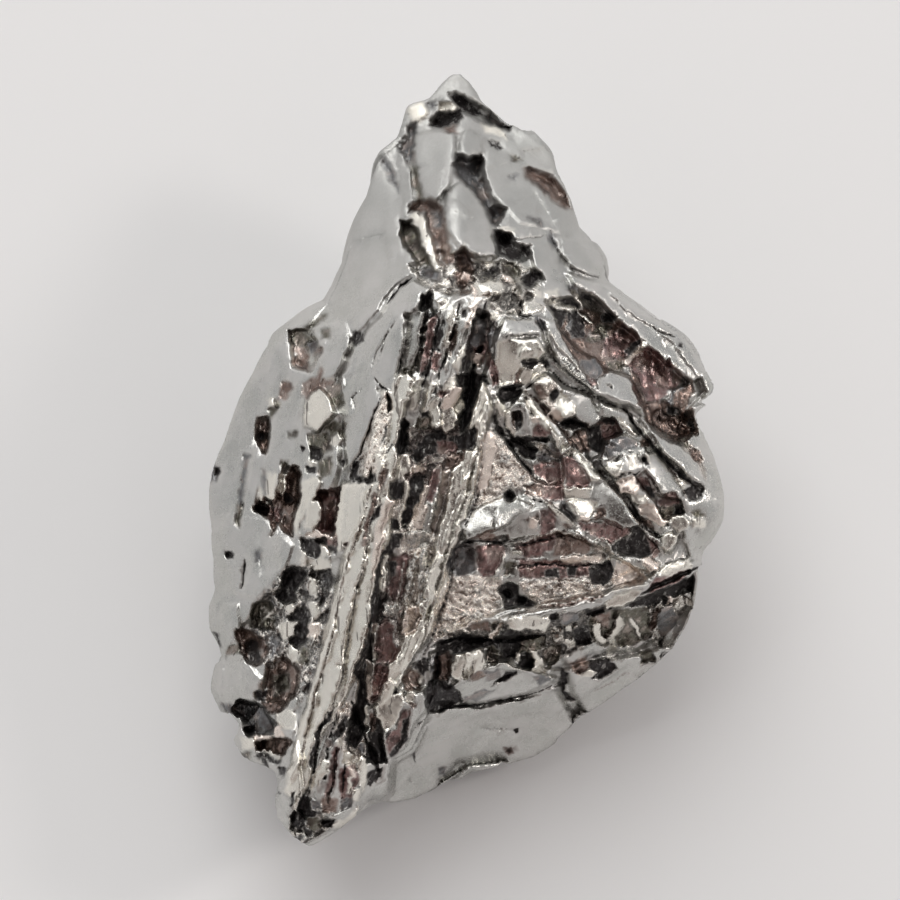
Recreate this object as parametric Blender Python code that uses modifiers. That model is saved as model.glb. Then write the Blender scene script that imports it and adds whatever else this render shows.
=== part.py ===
"""An iron meteorite: a small nugget of bright nickel-iron, torn along its crystal plates and lying on its
flattest side. It formed in one piece, so it is one solid.

The stone is described as it looks from above: across and up the picture in pixels of the reference photograph,
and towards the viewer in millimetres. A crest of long plates runs from the broad shoulder down to the nose.
Behind the shoulder a tapering tail points away, and under the crest's right side a smooth belly turns to the
ground. The mesh is shaped in millimetres and shrunk to metres at the end.
"""

import math

import bpy
import numpy as np

# Driving sizes of the real stone.
SEEN_LENGTH_MM = 26.0  # tail tip to nose tip, seen from above
CREST_HEIGHT_MM = 11.0  # upper end of the crest above the ground
VIEW_ELEVATION = math.radians(75)  # how steeply the reference view looks down

# The reference view, in pixels.
TAIL_TIP_V = 68
NOSE_TIP_V = 847
MIDDLE_U = 455
MIDDLE_V = 470
MM_PER_PIXEL = SEEN_LENGTH_MM / (NOSE_TIP_V - TAIL_TIP_V)
CREST_V = 300

# Fineness of the mesh.
SPHERE_LEVEL = 7
SKIN_VOXEL_MM = 0.15
MOST_TRIANGLES = 9400
METRES_PER_MM = 0.001
GROUND_PLAY_MM = 0.03  # whatever comes this near the ground lies on it

# How round the rim is, and how round the edges between the faces are.
RIM_POWER = 3.0
FACE_EDGE_MM = 0.22

# The stone's outline, clockwise from the tail tip, in pixels.
OUTLINE = [
    (457, 68), (470, 80), (482, 100), (505, 118), (530, 132), (552, 152), (558, 170), (572, 200),
    (577, 226), (592, 243), (604, 258), (609, 278), (628, 297), (655, 318), (685, 340), (703, 363),
    (713, 390), (709, 403), (697, 406), (696, 416), (706, 436), (718, 465), (727, 500), (724, 520),
    (712, 541), (703, 552), (701, 580), (697, 605), (688, 626), (675, 648), (650, 672), (622, 692),
    (600, 708), (580, 721), (560, 740), (532, 757), (500, 767), (470, 770), (446, 785), (420, 797),
    (392, 803), (372, 801), (357, 814), (340, 828), (320, 839), (306, 847), (292, 838), (280, 822),
    (275, 806), (279, 786), (276, 772), (262, 766), (241, 758), (231, 742), (238, 726), (222, 711),
    (214, 690), (222, 662), (217, 645), (208, 630), (207, 610), (214, 590), (213, 560), (210, 530),
    (206, 500), (210, 470), (222, 440), (235, 405), (252, 370), (268, 342), (290, 323), (325, 301),
    (333, 285), (343, 262), (352, 230), (365, 195), (378, 158), (400, 138), (409, 105), (428, 97),
    (441, 82),
]

# How far the outline lies behind the crest: across, down, and millimetres towards the viewer.
RIM = [
    (457, 68, -6.6), (558, 168, -5.8), (605, 268, -4.9), (700, 362, -4.6), (712, 395, -4.4),
    (727, 505, -3.8), (700, 590, -4.2), (622, 692, -5.6), (530, 757, -6.3), (420, 797, -5.4),
    (355, 815, -3.1), (306, 847, -2.5), (277, 800, -2.9), (235, 745, -4.6), (208, 620, -5.4),
    (206, 500, -5.7), (235, 405, -5.8), (290, 322, -5.4), (343, 262, -5.4), (378, 155, -6.0),
]

# The broad faces on the upper side, each by three points on it.
UPPER_FACES = {
    "crest": [(420, 300, 0.10), (485, 380, 0.05), (320, 780, -0.45)],
    "left flank": [(400, 300, -0.35), (296, 770, -0.70), (215, 500, -4.80)],
    "right face": [(500, 330, -0.35), (700, 520, -2.00), (410, 680, -0.50)],
    "belly": [(420, 700, -0.90), (690, 590, -2.60), (530, 750, -5.60)],
    "shoulder": [(530, 300, -0.80), (600, 270, -3.20), (705, 385, -4.00)],
    "tail right": [(500, 280, -0.60), (575, 210, -4.40), (475, 90, -6.10)],
    "tail left": [(430, 280, -0.50), (352, 240, -4.20), (430, 95, -6.20)],
}

# The nose stands out past the belly: its outline from above, and how much the belly's face is lifted there.
NOSE_SPUR = [
    (250, 620), (426, 620), (434, 690), (410, 748), (388, 760), (386, 792), (362, 818), (306, 860),
    (262, 836), (240, 700),
]
NOSE_EDGE = 16
NOSE_LIFT_MM = 8.0

# The broad faces underneath. The ground cuts them off in the middle.
LOWER_FACES = {
    "under left": [(220, 500, -6.5), (352, 330, -10.9), (352, 640, -9.6)],
    "under right": [(715, 505, -4.7), (590, 400, -9.9), (590, 620, -8.9)],
    "under tail": [(457, 75, -7.0), (380, 320, -10.9), (540, 320, -10.9)],
    "under nose": [(320, 835, -4.3), (350, 700, -8.3), (430, 790, -6.8)],
    "under belly": [(530, 755, -6.9), (440, 750, -7.6), (620, 650, -8.3)],
    "ground": [(450, 300, -11.75), (350, 600, -9.05), (550, 600, -9.05)],
}

# Parts of the upper side that stand proud: outline, height in millimetres, and width of the edge in pixels.
RAISED = {
    "left crest plates": ([(378, 394), (404, 372), (414, 380), (400, 430), (396, 480), (389, 540), (378, 600),
                           (368, 650), (345, 700), (322, 735), (312, 775), (298, 806), (284, 790), (300, 730),
                           (318, 660), (335, 590), (352, 530), (364, 470)], 0.42, 4),
    "right crest plate": ([(483, 376), (492, 410), (482, 452), (470, 500), (457, 545), (446, 590), (432, 630),
                           (408, 665), (386, 712), (375, 700), (398, 652), (420, 600), (436, 550), (450, 500),
                           (461, 460), (470, 420)], 0.40, 4),
    "upper slivers": ([(436, 312), (470, 292), (497, 284), (484, 318), (466, 366), (452, 424), (436, 430),
                       (424, 410), (430, 350)], 0.30, 5),
    "smooth plate": ([(412, 281), (431, 290), (408, 322), (400, 356), (390, 392), (368, 384), (345, 400),
                      (340, 380), (352, 345), (384, 318), (390, 300)], 0.18, 4),
    "lower smooth plate": ([(342, 484), (372, 484), (358, 530), (338, 556), (334, 530)], 0.20, 4),
    "striped nose": ([(340, 706), (352, 735), (362, 790), (345, 822), (316, 812), (314, 770), (324, 735)], 0.22, 5),
    "nose lobe": ([(280, 780), (300, 760), (302, 800), (296, 828), (280, 818), (277, 800)], 0.28, 6),
    "knob": ([(503, 321), (536, 322), (547, 345), (549, 358), (526, 364), (516, 385), (500, 388), (494, 364),
              (497, 338)], 0.50, 5),
    "rose block": ([(530, 382), (546, 374), (562, 386), (590, 399), (601, 420), (590, 428), (574, 416),
                    (560, 421), (545, 405)], 0.34, 4),
    "diagonal block": ([(522, 392), (535, 400), (560, 430), (574, 450), (560, 456), (538, 444), (518, 438),
                        (505, 420), (512, 404)], 0.32, 4),
    "cracked block": ([(604, 440), (625, 434), (646, 446), (647, 470), (626, 480), (604, 472), (599, 455)], 0.36, 4),
    "fan plate": ([(540, 318), (556, 322), (580, 352), (604, 372), (630, 376), (641, 398), (645, 416),
                   (624, 405), (594, 394), (560, 366)], 0.40, 4),
    "long right plate": ([(642, 418), (658, 430), (682, 446), (702, 468), (706, 486), (690, 480), (664, 452)], 0.42, 4),
    "slanting plate": ([(590, 476), (606, 480), (641, 525), (625, 537), (600, 516), (570, 502), (574, 486)], 0.30, 4),
    "narrow plate": ([(645, 455), (656, 452), (681, 490), (678, 501), (662, 496), (650, 475)], 0.30, 3),
    "middle plate": ([(458, 524), (480, 506), (506, 495), (532, 505), (522, 517), (492, 531), (464, 541)], 0.26, 4),
    "upper ledge": ([(500, 617), (560, 604), (612, 590), (655, 575), (692, 560), (700, 563), (690, 576),
                     (650, 594), (600, 606), (552, 622), (510, 635), (492, 640)], 0.34, 4),
    "lower ledge": ([(446, 690), (442, 676), (478, 671), (500, 662), (530, 670), (560, 680), (561, 690),
                     (520, 698), (470, 704)], 0.34, 4),
    "white chunk": ([(447, 661), (460, 645), (486, 646), (491, 660), (470, 680), (450, 677)], 0.40, 4),
    "hanging lump": ([(385, 760), (381, 726), (398, 697), (424, 690), (429, 705), (411, 731), (405, 747)], 0.46, 5),
    "tail plate": ([(417, 135), (450, 127), (456, 160), (446, 190), (425, 199), (414, 170)], 0.26, 6),
    "tail root plate": ([(447, 196), (460, 181), (476, 195), (490, 220), (499, 250), (489, 266), (465, 251),
                         (447, 225)], 0.30, 6),
    "shoulder rim": ([(566, 272), (606, 286), (640, 308), (688, 338), (714, 385), (708, 402), (684, 378),
                      (650, 347), (620, 322), (598, 300), (574, 287)], 0.26, 6),
    "pale flank plate": ([(304, 400), (318, 388), (329, 395), (336, 415), (320, 431), (303, 425)], 0.26, 5),
    "flank foot": ([(276, 736), (296, 722), (302, 760), (290, 782), (278, 764)], 0.30, 6),
}

# Hollows on the upper side: outline, depth in millimetres, and width of the edge in pixels.
HOLLOWS = {
    "crest channel": ([(404, 430), (470, 430), (462, 462), (449, 490), (436, 540), (420, 595), (399, 648),
                       (378, 700), (372, 760), (356, 772), (346, 735), (362, 690), (375, 630), (384, 570),
                       (395, 500)], 0.55, 5),
    "black gap": ([(476, 308), (492, 322), (488, 366), (480, 384), (466, 430), (452, 432), (465, 390),
                   (470, 345)], 0.75, 5),
    "sliver channel": ([(425, 300), (434, 312), (424, 350), (418, 372), (404, 372), (410, 330)], 0.40, 4),
    "shoulder hollow": ([(548, 306), (566, 298), (590, 294), (602, 302), (618, 322), (646, 348), (672, 368),
                         (703, 388), (690, 408), (697, 430), (672, 442), (650, 428), (642, 400), (628, 378),
                         (604, 370), (578, 350), (560, 326)], 0.95, 6),
    "tail root": ([(410, 266), (440, 250), (475, 256), (500, 228), (530, 254), (542, 286), (500, 284),
                   (450, 296), (420, 285)], 0.42, 7),
    "recess": ([(452, 548), (500, 536), (560, 532), (600, 548), (650, 577), (600, 594), (500, 610),
                (440, 634), (434, 608)], 0.42, 5),
    "under ledge": ([(430, 652), (470, 638), (540, 634), (600, 606), (660, 594), (702, 570), (698, 600),
                     (680, 640), (640, 656), (600, 662), (560, 670), (520, 668), (492, 654), (446, 690),
                     (436, 676)], 0.60, 5),
    "block gap": ([(577, 432), (600, 421), (616, 422), (621, 432), (606, 440), (600, 456), (590, 461)], 0.50, 4),
    "dark gap": ([(500, 432), (545, 448), (566, 458), (560, 486), (536, 482), (516, 452)], 0.36, 5),
    "small pocket": ([(655, 492), (680, 500), (684, 512), (670, 521), (656, 508)], 0.40, 4),
    "rust star": ([(284, 464), (300, 474), (298, 502), (291, 536), (274, 518), (254, 511), (258, 499),
                   (279, 493)], 0.60, 6),
    "upper flank pit": ([(289, 332), (312, 330), (320, 350), (310, 372), (292, 366)], 0.40, 8),
    "flank slot": ([(318, 494), (341, 488), (346, 510), (336, 530), (332, 556), (318, 541), (325, 515)], 0.52, 5),
    "rim slot": ([(258, 418), (268, 416), (270, 438), (262, 452), (256, 438)], 0.45, 6),
    "crumbled zone": ([(292, 568), (346, 556), (334, 620), (318, 652), (296, 662), (250, 664), (238, 632),
                       (262, 606)], 0.36, 7),
    "grey hollow": ([(268, 668), (284, 656), (300, 668), (298, 690), (282, 704), (262, 698)], 0.60, 7),
    "low hollow": ([(240, 702), (262, 704), (278, 726), (268, 738), (246, 734)], 0.60, 7),
    "low pocket": ([(256, 742), (288, 738), (284, 754), (266, 758)], 0.50, 5),
    "tail crevice": ([(430, 118), (458, 94), (482, 104), (512, 122), (500, 130), (462, 110), (442, 126)], 0.50, 6),
    "tail hollow": ([(454, 160), (481, 155), (484, 176), (489, 195), (506, 210), (496, 226), (480, 202),
                     (462, 186)], 0.46, 6),
    "tail groove": ([(416, 198), (440, 208), (440, 236), (448, 266), (436, 266), (424, 236)], 0.36, 6),
    "tail left groove": ([(400, 220), (414, 224), (422, 246), (434, 270), (420, 268), (406, 244)], 0.36, 6),
    "tail right groove": ([(528, 168), (552, 180), (573, 202), (556, 200), (534, 182)], 0.34, 6),
    "eye pit": ([(404, 672), (416, 663), (432, 670), (430, 686), (414, 691)], 0.40, 4),
}

# Long cracks and valleys on the upper side: line, half width in pixels, and depth in millimetres.
CRACKS = {
    "crest crack": ([(390, 556), (380, 610), (370, 660), (360, 706), (352, 760)], 9, 0.60),
    "plate crack": ([(413, 279), (396, 288), (384, 306), (368, 328), (352, 342), (346, 366), (337, 384)], 6, 0.30),
    "shoulder crack": ([(590, 395), (612, 402), (626, 411), (638, 426), (652, 446), (674, 468), (700, 488)], 6, 0.45),
    "slanting crack": ([(572, 452), (600, 475), (620, 495), (640, 520), (656, 536)], 5, 0.28),
    "flank valley": ([(346, 420), (346, 470), (330, 520), (316, 580)], 10, 0.30),
    "rim groove": ([(248, 454), (242, 490), (239, 526)], 6, 0.30),
    "belly valley": ([(562, 676), (568, 698), (578, 712), (586, 730)], 12, 0.45),
    "belly shelf": ([(446, 784), (462, 768), (500, 764)], 12, 0.35),
    "ledge crack": ([(440, 704), (480, 705), (520, 698), (562, 684)], 5, 0.30),
}

# Thumb-shaped hollows of the underside: across, down, half length, half width, turn in degrees, depth.
UNDER_HOLLOWS = [
    (286, 430, 62, 34, 75, 0.75),
    (640, 430, 56, 36, 110, 0.70),
    (400, 215, 48, 30, 80, 0.60),
    (505, 190, 44, 26, 100, 0.55),
    (300, 640, 52, 34, 60, 0.70),
    (655, 560, 44, 28, 120, 0.55),
    (340, 760, 34, 22, 60, 0.45),
    (600, 300, 40, 26, 45, 0.55),
]

# Long plates of the underside, which follow the same grain as the crest: line, half width and height.
UNDER_PLATES = [
    ([(330, 300), (300, 400), (282, 520)], 16, 0.40),
    ([(352, 330), (326, 440), (306, 560)], 11, 0.30),
    ([(600, 360), (590, 470), (560, 600)], 15, 0.38),
    ([(470, 130), (462, 220), (448, 300)], 13, 0.34),
    ([(690, 440), (684, 520), (660, 620)], 14, 0.34),
    ([(380, 700), (350, 770), (318, 820)], 13, 0.30),
]

# The plates that the whole stone is torn along.
GRAIN_FROM = (430, 290, 0.0)
GRAIN_TO = (305, 840, -1.0)
PLATE_SIZE_MM = 1.7
PLATE_STRETCH = 2.6
PLATE_STEP_MM = 0.20
PLATE_TILT = 0.12


def view_axes():
    """Across, up and towards the viewer in the reference view, as rows."""
    sine, cosine = math.sin(VIEW_ELEVATION), math.cos(VIEW_ELEVATION)
    return np.array([(1, 0, 0), (0, sine, cosine), (0, -cosine, sine)])


def placed(u, v, depth):
    """Points in millimetres from pixels of the reference view and a depth."""
    seen = np.stack([(u - MIDDLE_U) * MM_PER_PIXEL, (MIDDLE_V - v) * MM_PER_PIXEL, depth], axis=-1)
    return seen @ view_axes()


def seen_from_above(points):
    """Pixels of the reference view for points in millimetres."""
    seen = points @ view_axes().T
    return MIDDLE_U + seen[:, 0] / MM_PER_PIXEL, MIDDLE_V - seen[:, 1] / MM_PER_PIXEL


def smooth_step(low, high, x):
    t = np.clip((x - low) / (high - low), 0, 1)
    return t * t * (3 - 2 * t)


def outline_reach(angle):
    """The outline's distance from the middle, in pixels, at each angle."""
    corners = np.array(OUTLINE, float) - (MIDDLE_U, MIDDLE_V)
    at = np.arctan2(corners[:, 1], corners[:, 0])
    order = np.argsort(at)
    return np.interp(angle, at[order], np.hypot(*corners.T)[order], period=2 * math.pi)


def rim_depth(angle):
    """The rim's depth at each angle round the middle."""
    rim = np.array(RIM, float)
    at = np.arctan2(rim[:, 1] - MIDDLE_V, rim[:, 0] - MIDDLE_U)
    order = np.argsort(at)
    return np.interp(angle, at[order], rim[order, 2], period=2 * math.pi)


def nearest_face(faces, u, v, lifted):
    """The depth of the lowest of these faces at each point, with rounded edges between them."""
    total = 0
    for name, corners in faces.items():
        corners = np.array(corners, float)
        plane = np.linalg.solve(np.column_stack([corners[:, :2], np.ones(3)]), corners[:, 2])
        depth = plane[0] * u + plane[1] * v + plane[2] + lifted.get(name, 0)
        total = total + np.exp(-depth / FACE_EDGE_MM)
    return -FACE_EDGE_MM * np.log(total)


def mirrored(faces):
    """The same faces with their depths turned round, so that the highest becomes the lowest."""
    return {name: [(u, v, -depth) for u, v, depth in corners] for name, corners in faces.items()}


def lump_points(sphere):
    """Where the vertices of a unit sphere go on the bare lump, before any plate or hollow."""
    across = np.hypot(sphere[:, 0], sphere[:, 1])
    angle = np.arctan2(-sphere[:, 1], sphere[:, 0])
    reach = outline_reach(angle) * across
    u = MIDDLE_U + reach * np.cos(angle)
    v = MIDDLE_V + reach * np.sin(angle)
    spur = NOSE_LIFT_MM * patch(u, v, NOSE_SPUR, NOSE_EDGE)
    upper = nearest_face(UPPER_FACES, u, v, {"belly": spur})
    lower = -nearest_face(mirrored(LOWER_FACES), u, v, {})
    rim = rim_depth(angle)
    share = (1 - np.minimum(across, 1) ** RIM_POWER) ** (1 / RIM_POWER)
    depth = rim + share * np.where(sphere[:, 2] > 0, upper - rim, lower - rim)
    return placed(u, v, depth)


def line_distance(u, v, line):
    """Distance of each point from a line of straight stretches, in pixels."""
    line = np.array(line, float)
    nearest = np.full(len(u), np.inf)
    for start, end in zip(line[:-1], line[1:]):
        along = end - start
        t = np.clip(((u - start[0]) * along[0] + (v - start[1]) * along[1]) / (along @ along), 0, 1)
        nearest = np.minimum(nearest, np.hypot(u - start[0] - t * along[0], v - start[1] - t * along[1]))
    return nearest


def patch(u, v, corners, edge):
    """1 inside an outline, 0 outside, with a slope of that width at its edge."""
    corners = np.array(corners, float)
    closed = np.vstack([corners, corners[:1]])
    inside = np.zeros(len(u), bool)
    for (u0, v0), (u1, v1) in zip(closed[:-1], closed[1:]):
        if v0 != v1:
            inside ^= ((v0 > v) != (v1 > v)) & (u < (u1 - u0) * (v - v0) / (v1 - v0) + u0)
    distance = line_distance(u, v, closed)
    return smooth_step(-edge / 2, edge / 2, np.where(inside, distance, -distance))


def scattered(cells, seed, channel):
    """A number from 0 to 1 for each whole-numbered cell, the same each run."""
    mixed = cells @ np.array([127.1, 311.7, 74.7]) + 17.13 * seed + 5.31 * channel
    return np.modf(np.abs(np.sin(mixed) * 43758.5453))[0]


def plates(points, seed):
    """Steps and tilts of a pattern of torn plates, in millimetres, and the distance to the next plate."""
    spots = points @ grain_axes().T / (PLATE_SIZE_MM * np.array([1, PLATE_STRETCH, 1]))
    base = np.floor(spots)
    first = np.full(len(spots), np.inf)
    second = np.full(len(spots), np.inf)
    height = np.zeros(len(spots))
    for shift in np.ndindex(3, 3, 3):
        cell = base + np.array(shift) - 1
        jitter = np.stack([scattered(cell, seed, k) for k in range(3)], axis=1)
        away = spots - cell - jitter
        distance = np.linalg.norm(away, axis=1)
        turn = np.stack([scattered(cell, seed, k) for k in range(3, 6)], axis=1) - 0.5
        own = PLATE_STEP_MM * (scattered(cell, seed, 6) - 0.5) + PLATE_TILT * (away * turn).sum(1) * PLATE_SIZE_MM
        closer = distance < first
        second = np.where(closer, first, np.minimum(second, distance))
        height = np.where(closer, own, height)
        first = np.minimum(first, distance)
    return height, second - first


def grain_axes():
    """Axes whose second one runs along the stone's plates, as rows."""
    ends = [placed(np.array(u), np.array(v), np.array(w)) for u, v, w in (GRAIN_FROM, GRAIN_TO)]
    along = (ends[1] - ends[0]) / np.linalg.norm(ends[1] - ends[0])
    side = np.cross(along, view_axes()[2])
    side = side / np.linalg.norm(side)
    return np.array([side, along, np.cross(side, along)])


def upper_relief(u, v):
    """Height of the plates, hollows and cracks drawn on the upper side, in millimetres."""
    height = np.zeros(len(u))
    for corners, depth, edge in HOLLOWS.values():
        height -= depth * patch(u, v, corners, edge)
    for line, half_width, depth in CRACKS.values():
        height -= depth * (1 - smooth_step(0.2 * half_width, half_width, line_distance(u, v, line)))
    for corners, rise, edge in RAISED.values():
        height += rise * patch(u, v, corners, edge)
    return height


def lower_relief(u, v):
    """Height of the thumb-shaped hollows and long plates underneath, in millimetres."""
    height = np.zeros(len(u))
    for middle_u, middle_v, half_length, half_width, turn, depth in UNDER_HOLLOWS:
        turn = math.radians(turn)
        along = (u - middle_u) * math.cos(turn) + (v - middle_v) * math.sin(turn)
        beside = (v - middle_v) * math.cos(turn) - (u - middle_u) * math.sin(turn)
        height -= depth * (1 - smooth_step(0.3, 1.0, np.hypot(along / half_length, beside / half_width)))
    for line, half_width, rise in UNDER_PLATES:
        height += rise * (1 - smooth_step(0.7 * half_width, half_width, line_distance(u, v, line)))
    return height


def shaped(points, normals):
    """The skin of the lump moved in and out along the torn plates, the hollows and the cracks."""
    u, v = seen_from_above(points)
    viewer = view_axes()[2]
    facing = normals @ viewer
    above = smooth_step(-0.10, 0.25, facing)
    steps, gap = plates(points, seed=3)
    steps = steps - 0.10 * (1 - smooth_step(0.02, 0.12, gap))
    height = above * (0.6 * steps + upper_relief(u, v)) + (1 - above) * (1.6 * steps + lower_relief(u, v))
    way = normals + (above * np.clip(facing, 0, 1))[:, None] * viewer
    way = way / np.linalg.norm(way, axis=1)[:, None]
    return points + way * height[:, None]


def points_of(mesh):
    points = np.empty(len(mesh.vertices) * 3)
    mesh.vertices.foreach_get("co", points)
    return points.reshape(-1, 3)


def normals_of(mesh):
    normals = np.empty(len(mesh.vertices) * 3)
    mesh.vertex_normals.foreach_get("vector", normals)
    return normals.reshape(-1, 3)


def move_to(mesh, points):
    mesh.vertices.foreach_set("co", points.astype(np.float32).ravel())
    mesh.update()


def apply_modifier(stone, kind, **settings):
    modifier = stone.modifiers.new(kind.title(), kind)
    for name, value in settings.items():
        setattr(modifier, name, value)
    bpy.ops.object.modifier_apply(modifier=modifier.name)


def nickel_iron():
    material = bpy.data.materials.new("nickel_iron")
    material.use_nodes = True
    shader = material.node_tree.nodes["Principled BSDF"]
    shader.inputs["Base Color"].default_value = (0.62, 0.61, 0.58, 1)
    shader.inputs["Metallic"].default_value = 1.0
    shader.inputs["Roughness"].default_value = 0.25
    return material


def meteorite():
    bpy.ops.mesh.primitive_ico_sphere_add(subdivisions=SPHERE_LEVEL, radius=1)
    stone = bpy.context.object
    stone.name = stone.data.name = "meteorite"
    move_to(stone.data, lump_points(points_of(stone.data)))
    apply_modifier(stone, "REMESH", mode="VOXEL", voxel_size=SKIN_VOXEL_MM)
    move_to(stone.data, shaped(points_of(stone.data), normals_of(stone.data)))

    # The ground: the stone rests on the face that it has worn flat.
    points = points_of(stone.data)
    crest = placed(np.array(MIDDLE_U), np.array(CREST_V), np.array(0.0))
    points[:, 2] = np.maximum(points[:, 2] - crest[2] + CREST_HEIGHT_MM, 0)
    middle = (points.min(0) + points.max(0)) / 2
    points[:, :2] -= middle[:2]
    move_to(stone.data, points * METRES_PER_MM)

    triangles = sum(len(face.vertices) - 2 for face in stone.data.polygons)
    apply_modifier(stone, "DECIMATE", ratio=MOST_TRIANGLES / triangles)
    points = points_of(stone.data)
    points[points[:, 2] < GROUND_PLAY_MM * METRES_PER_MM, 2] = 0
    move_to(stone.data, points)
    stone.data.shade_smooth()
    stone.data.materials.append(nickel_iron())
    return stone


def main():
    for old in list(bpy.data.objects):
        bpy.data.objects.remove(old)
    stone = meteorite()
    collection = bpy.data.collections.new("iron_meteorite")
    bpy.context.scene.collection.children.link(collection)
    for other in stone.users_collection:
        other.objects.unlink(stone)
    collection.objects.link(stone)


main()
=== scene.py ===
# %% [markdown]
# # An iron meteorite, cut crisp and bright
# The stone is one small nugget of nickel-iron. When it was torn from a bigger mass it parted along its own
# crystal plates, so it has smooth bright plates, thin stacked sheets, dark cracks and a few rough,
# glittering breaks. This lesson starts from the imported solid, which gives the size and the place, and makes
# a much finer skin for it.

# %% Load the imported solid
import math
from itertools import chain

import bpy
import numpy as np
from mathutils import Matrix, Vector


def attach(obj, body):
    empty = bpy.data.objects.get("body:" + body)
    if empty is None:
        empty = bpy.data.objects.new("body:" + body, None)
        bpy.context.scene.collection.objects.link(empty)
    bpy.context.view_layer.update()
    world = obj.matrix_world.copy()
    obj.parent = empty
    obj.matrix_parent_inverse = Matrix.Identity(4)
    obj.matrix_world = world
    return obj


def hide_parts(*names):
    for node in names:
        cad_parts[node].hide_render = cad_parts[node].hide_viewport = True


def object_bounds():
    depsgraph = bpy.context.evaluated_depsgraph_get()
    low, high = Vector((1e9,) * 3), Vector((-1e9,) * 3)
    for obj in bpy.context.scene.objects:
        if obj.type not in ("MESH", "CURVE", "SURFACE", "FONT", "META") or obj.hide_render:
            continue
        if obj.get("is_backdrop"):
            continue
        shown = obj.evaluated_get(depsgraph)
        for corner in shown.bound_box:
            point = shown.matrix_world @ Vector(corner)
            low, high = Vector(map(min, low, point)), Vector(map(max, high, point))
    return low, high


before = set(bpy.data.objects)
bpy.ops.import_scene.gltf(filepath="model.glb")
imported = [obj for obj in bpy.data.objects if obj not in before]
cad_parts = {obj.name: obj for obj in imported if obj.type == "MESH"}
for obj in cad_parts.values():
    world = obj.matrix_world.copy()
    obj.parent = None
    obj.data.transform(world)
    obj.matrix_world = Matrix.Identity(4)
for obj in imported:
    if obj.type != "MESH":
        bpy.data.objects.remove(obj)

cad_low, cad_high = (np.array(corner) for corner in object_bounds())
print("the solid measures", np.round((cad_high - cad_low) * 1000, 2), "mm")

# %% [markdown]
# ## The view that everything is drawn in
# A torn stone has no straight sides to measure from. Its shapes are therefore drawn the way that they are
# seen: across and down in pixels of the reference view, which looks steeply down on the stone, and towards
# the viewer in millimetres. One function turns such points into the stone's own frame.

# %% The reference view
VIEW_ELEVATION = math.radians(75)
SEEN_LENGTH_MM = 26.0
TAIL_TIP_V, NOSE_TIP_V = 68, 847
MIDDLE_U, MIDDLE_V = 455, 470
MM_PER_PIXEL = SEEN_LENGTH_MM / (NOSE_TIP_V - TAIL_TIP_V)
CREST_V = 300
CREST_HEIGHT_MM = 11.0
METRES_PER_MM = 0.001


def view_axes():
    """Across, up and towards the viewer in the reference view, as rows."""
    sine, cosine = math.sin(VIEW_ELEVATION), math.cos(VIEW_ELEVATION)
    return np.array([(1, 0, 0), (0, sine, cosine), (0, -cosine, sine)])


def placed(u, v, depth):
    """Points in millimetres from pixels of the reference view and a depth."""
    seen = np.stack([(u - MIDDLE_U) * MM_PER_PIXEL, (MIDDLE_V - v) * MM_PER_PIXEL, depth], axis=-1)
    return seen @ view_axes()


def seen_from_above(points):
    """Pixels of the reference view for points in millimetres."""
    seen = points @ view_axes().T
    return MIDDLE_U + seen[:, 0] / MM_PER_PIXEL, MIDDLE_V - seen[:, 1] / MM_PER_PIXEL


def smooth_step(low, high, x):
    t = np.clip((x - low) / (high - low), 0, 1)
    return t * t * (3 - 2 * t)


print("one pixel is", round(MM_PER_PIXEL, 4), "mm")

# %% [markdown]
# ## The outline and the broad faces
# The stone's outline is a ring of points, and its rim lies at different depths behind the crest. Between
# the rims the upper side is a handful of broad faces that meet in rounded edges: the crest, the left flank,
# the right face, the belly, the shoulder and the tail. These are the same values as in the solid, so the
# two agree.

# %% Outline, rim and faces
OUTLINE = [
    (457, 68), (470, 80), (482, 100), (505, 118), (530, 132), (552, 152), (558, 170), (572, 200),
    (577, 226), (592, 243), (604, 258), (609, 278), (628, 297), (655, 318), (685, 340), (703, 363),
    (713, 390), (709, 403), (697, 406), (696, 416), (706, 436), (718, 465), (727, 500), (724, 520),
    (712, 541), (703, 552), (701, 580), (697, 605), (688, 626), (675, 648), (650, 672), (622, 692),
    (600, 708), (580, 721), (560, 740), (532, 757), (500, 767), (470, 770), (446, 785), (420, 797),
    (392, 803), (372, 801), (357, 814), (340, 828), (320, 839), (306, 847), (292, 838), (280, 822),
    (275, 806), (279, 786), (276, 772), (262, 766), (241, 758), (231, 742), (238, 726), (222, 711),
    (214, 690), (222, 662), (217, 645), (208, 630), (207, 610), (214, 590), (213, 560), (210, 530),
    (206, 500), (210, 470), (222, 440), (235, 405), (252, 370), (268, 342), (290, 323), (325, 301),
    (333, 285), (343, 262), (352, 230), (365, 195), (378, 158), (400, 138), (409, 105), (428, 97),
    (441, 82),
]
RIM = [
    (457, 68, -6.6), (558, 168, -5.8), (605, 268, -4.9), (700, 362, -4.6), (712, 395, -4.4),
    (727, 505, -3.8), (700, 590, -4.2), (622, 692, -5.6), (530, 757, -6.3), (420, 797, -5.4),
    (355, 815, -3.1), (306, 847, -2.5), (277, 800, -2.9), (235, 745, -4.6), (208, 620, -5.4),
    (206, 500, -5.7), (235, 405, -5.8), (290, 322, -5.4), (343, 262, -5.4), (378, 155, -6.0),
]
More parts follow.
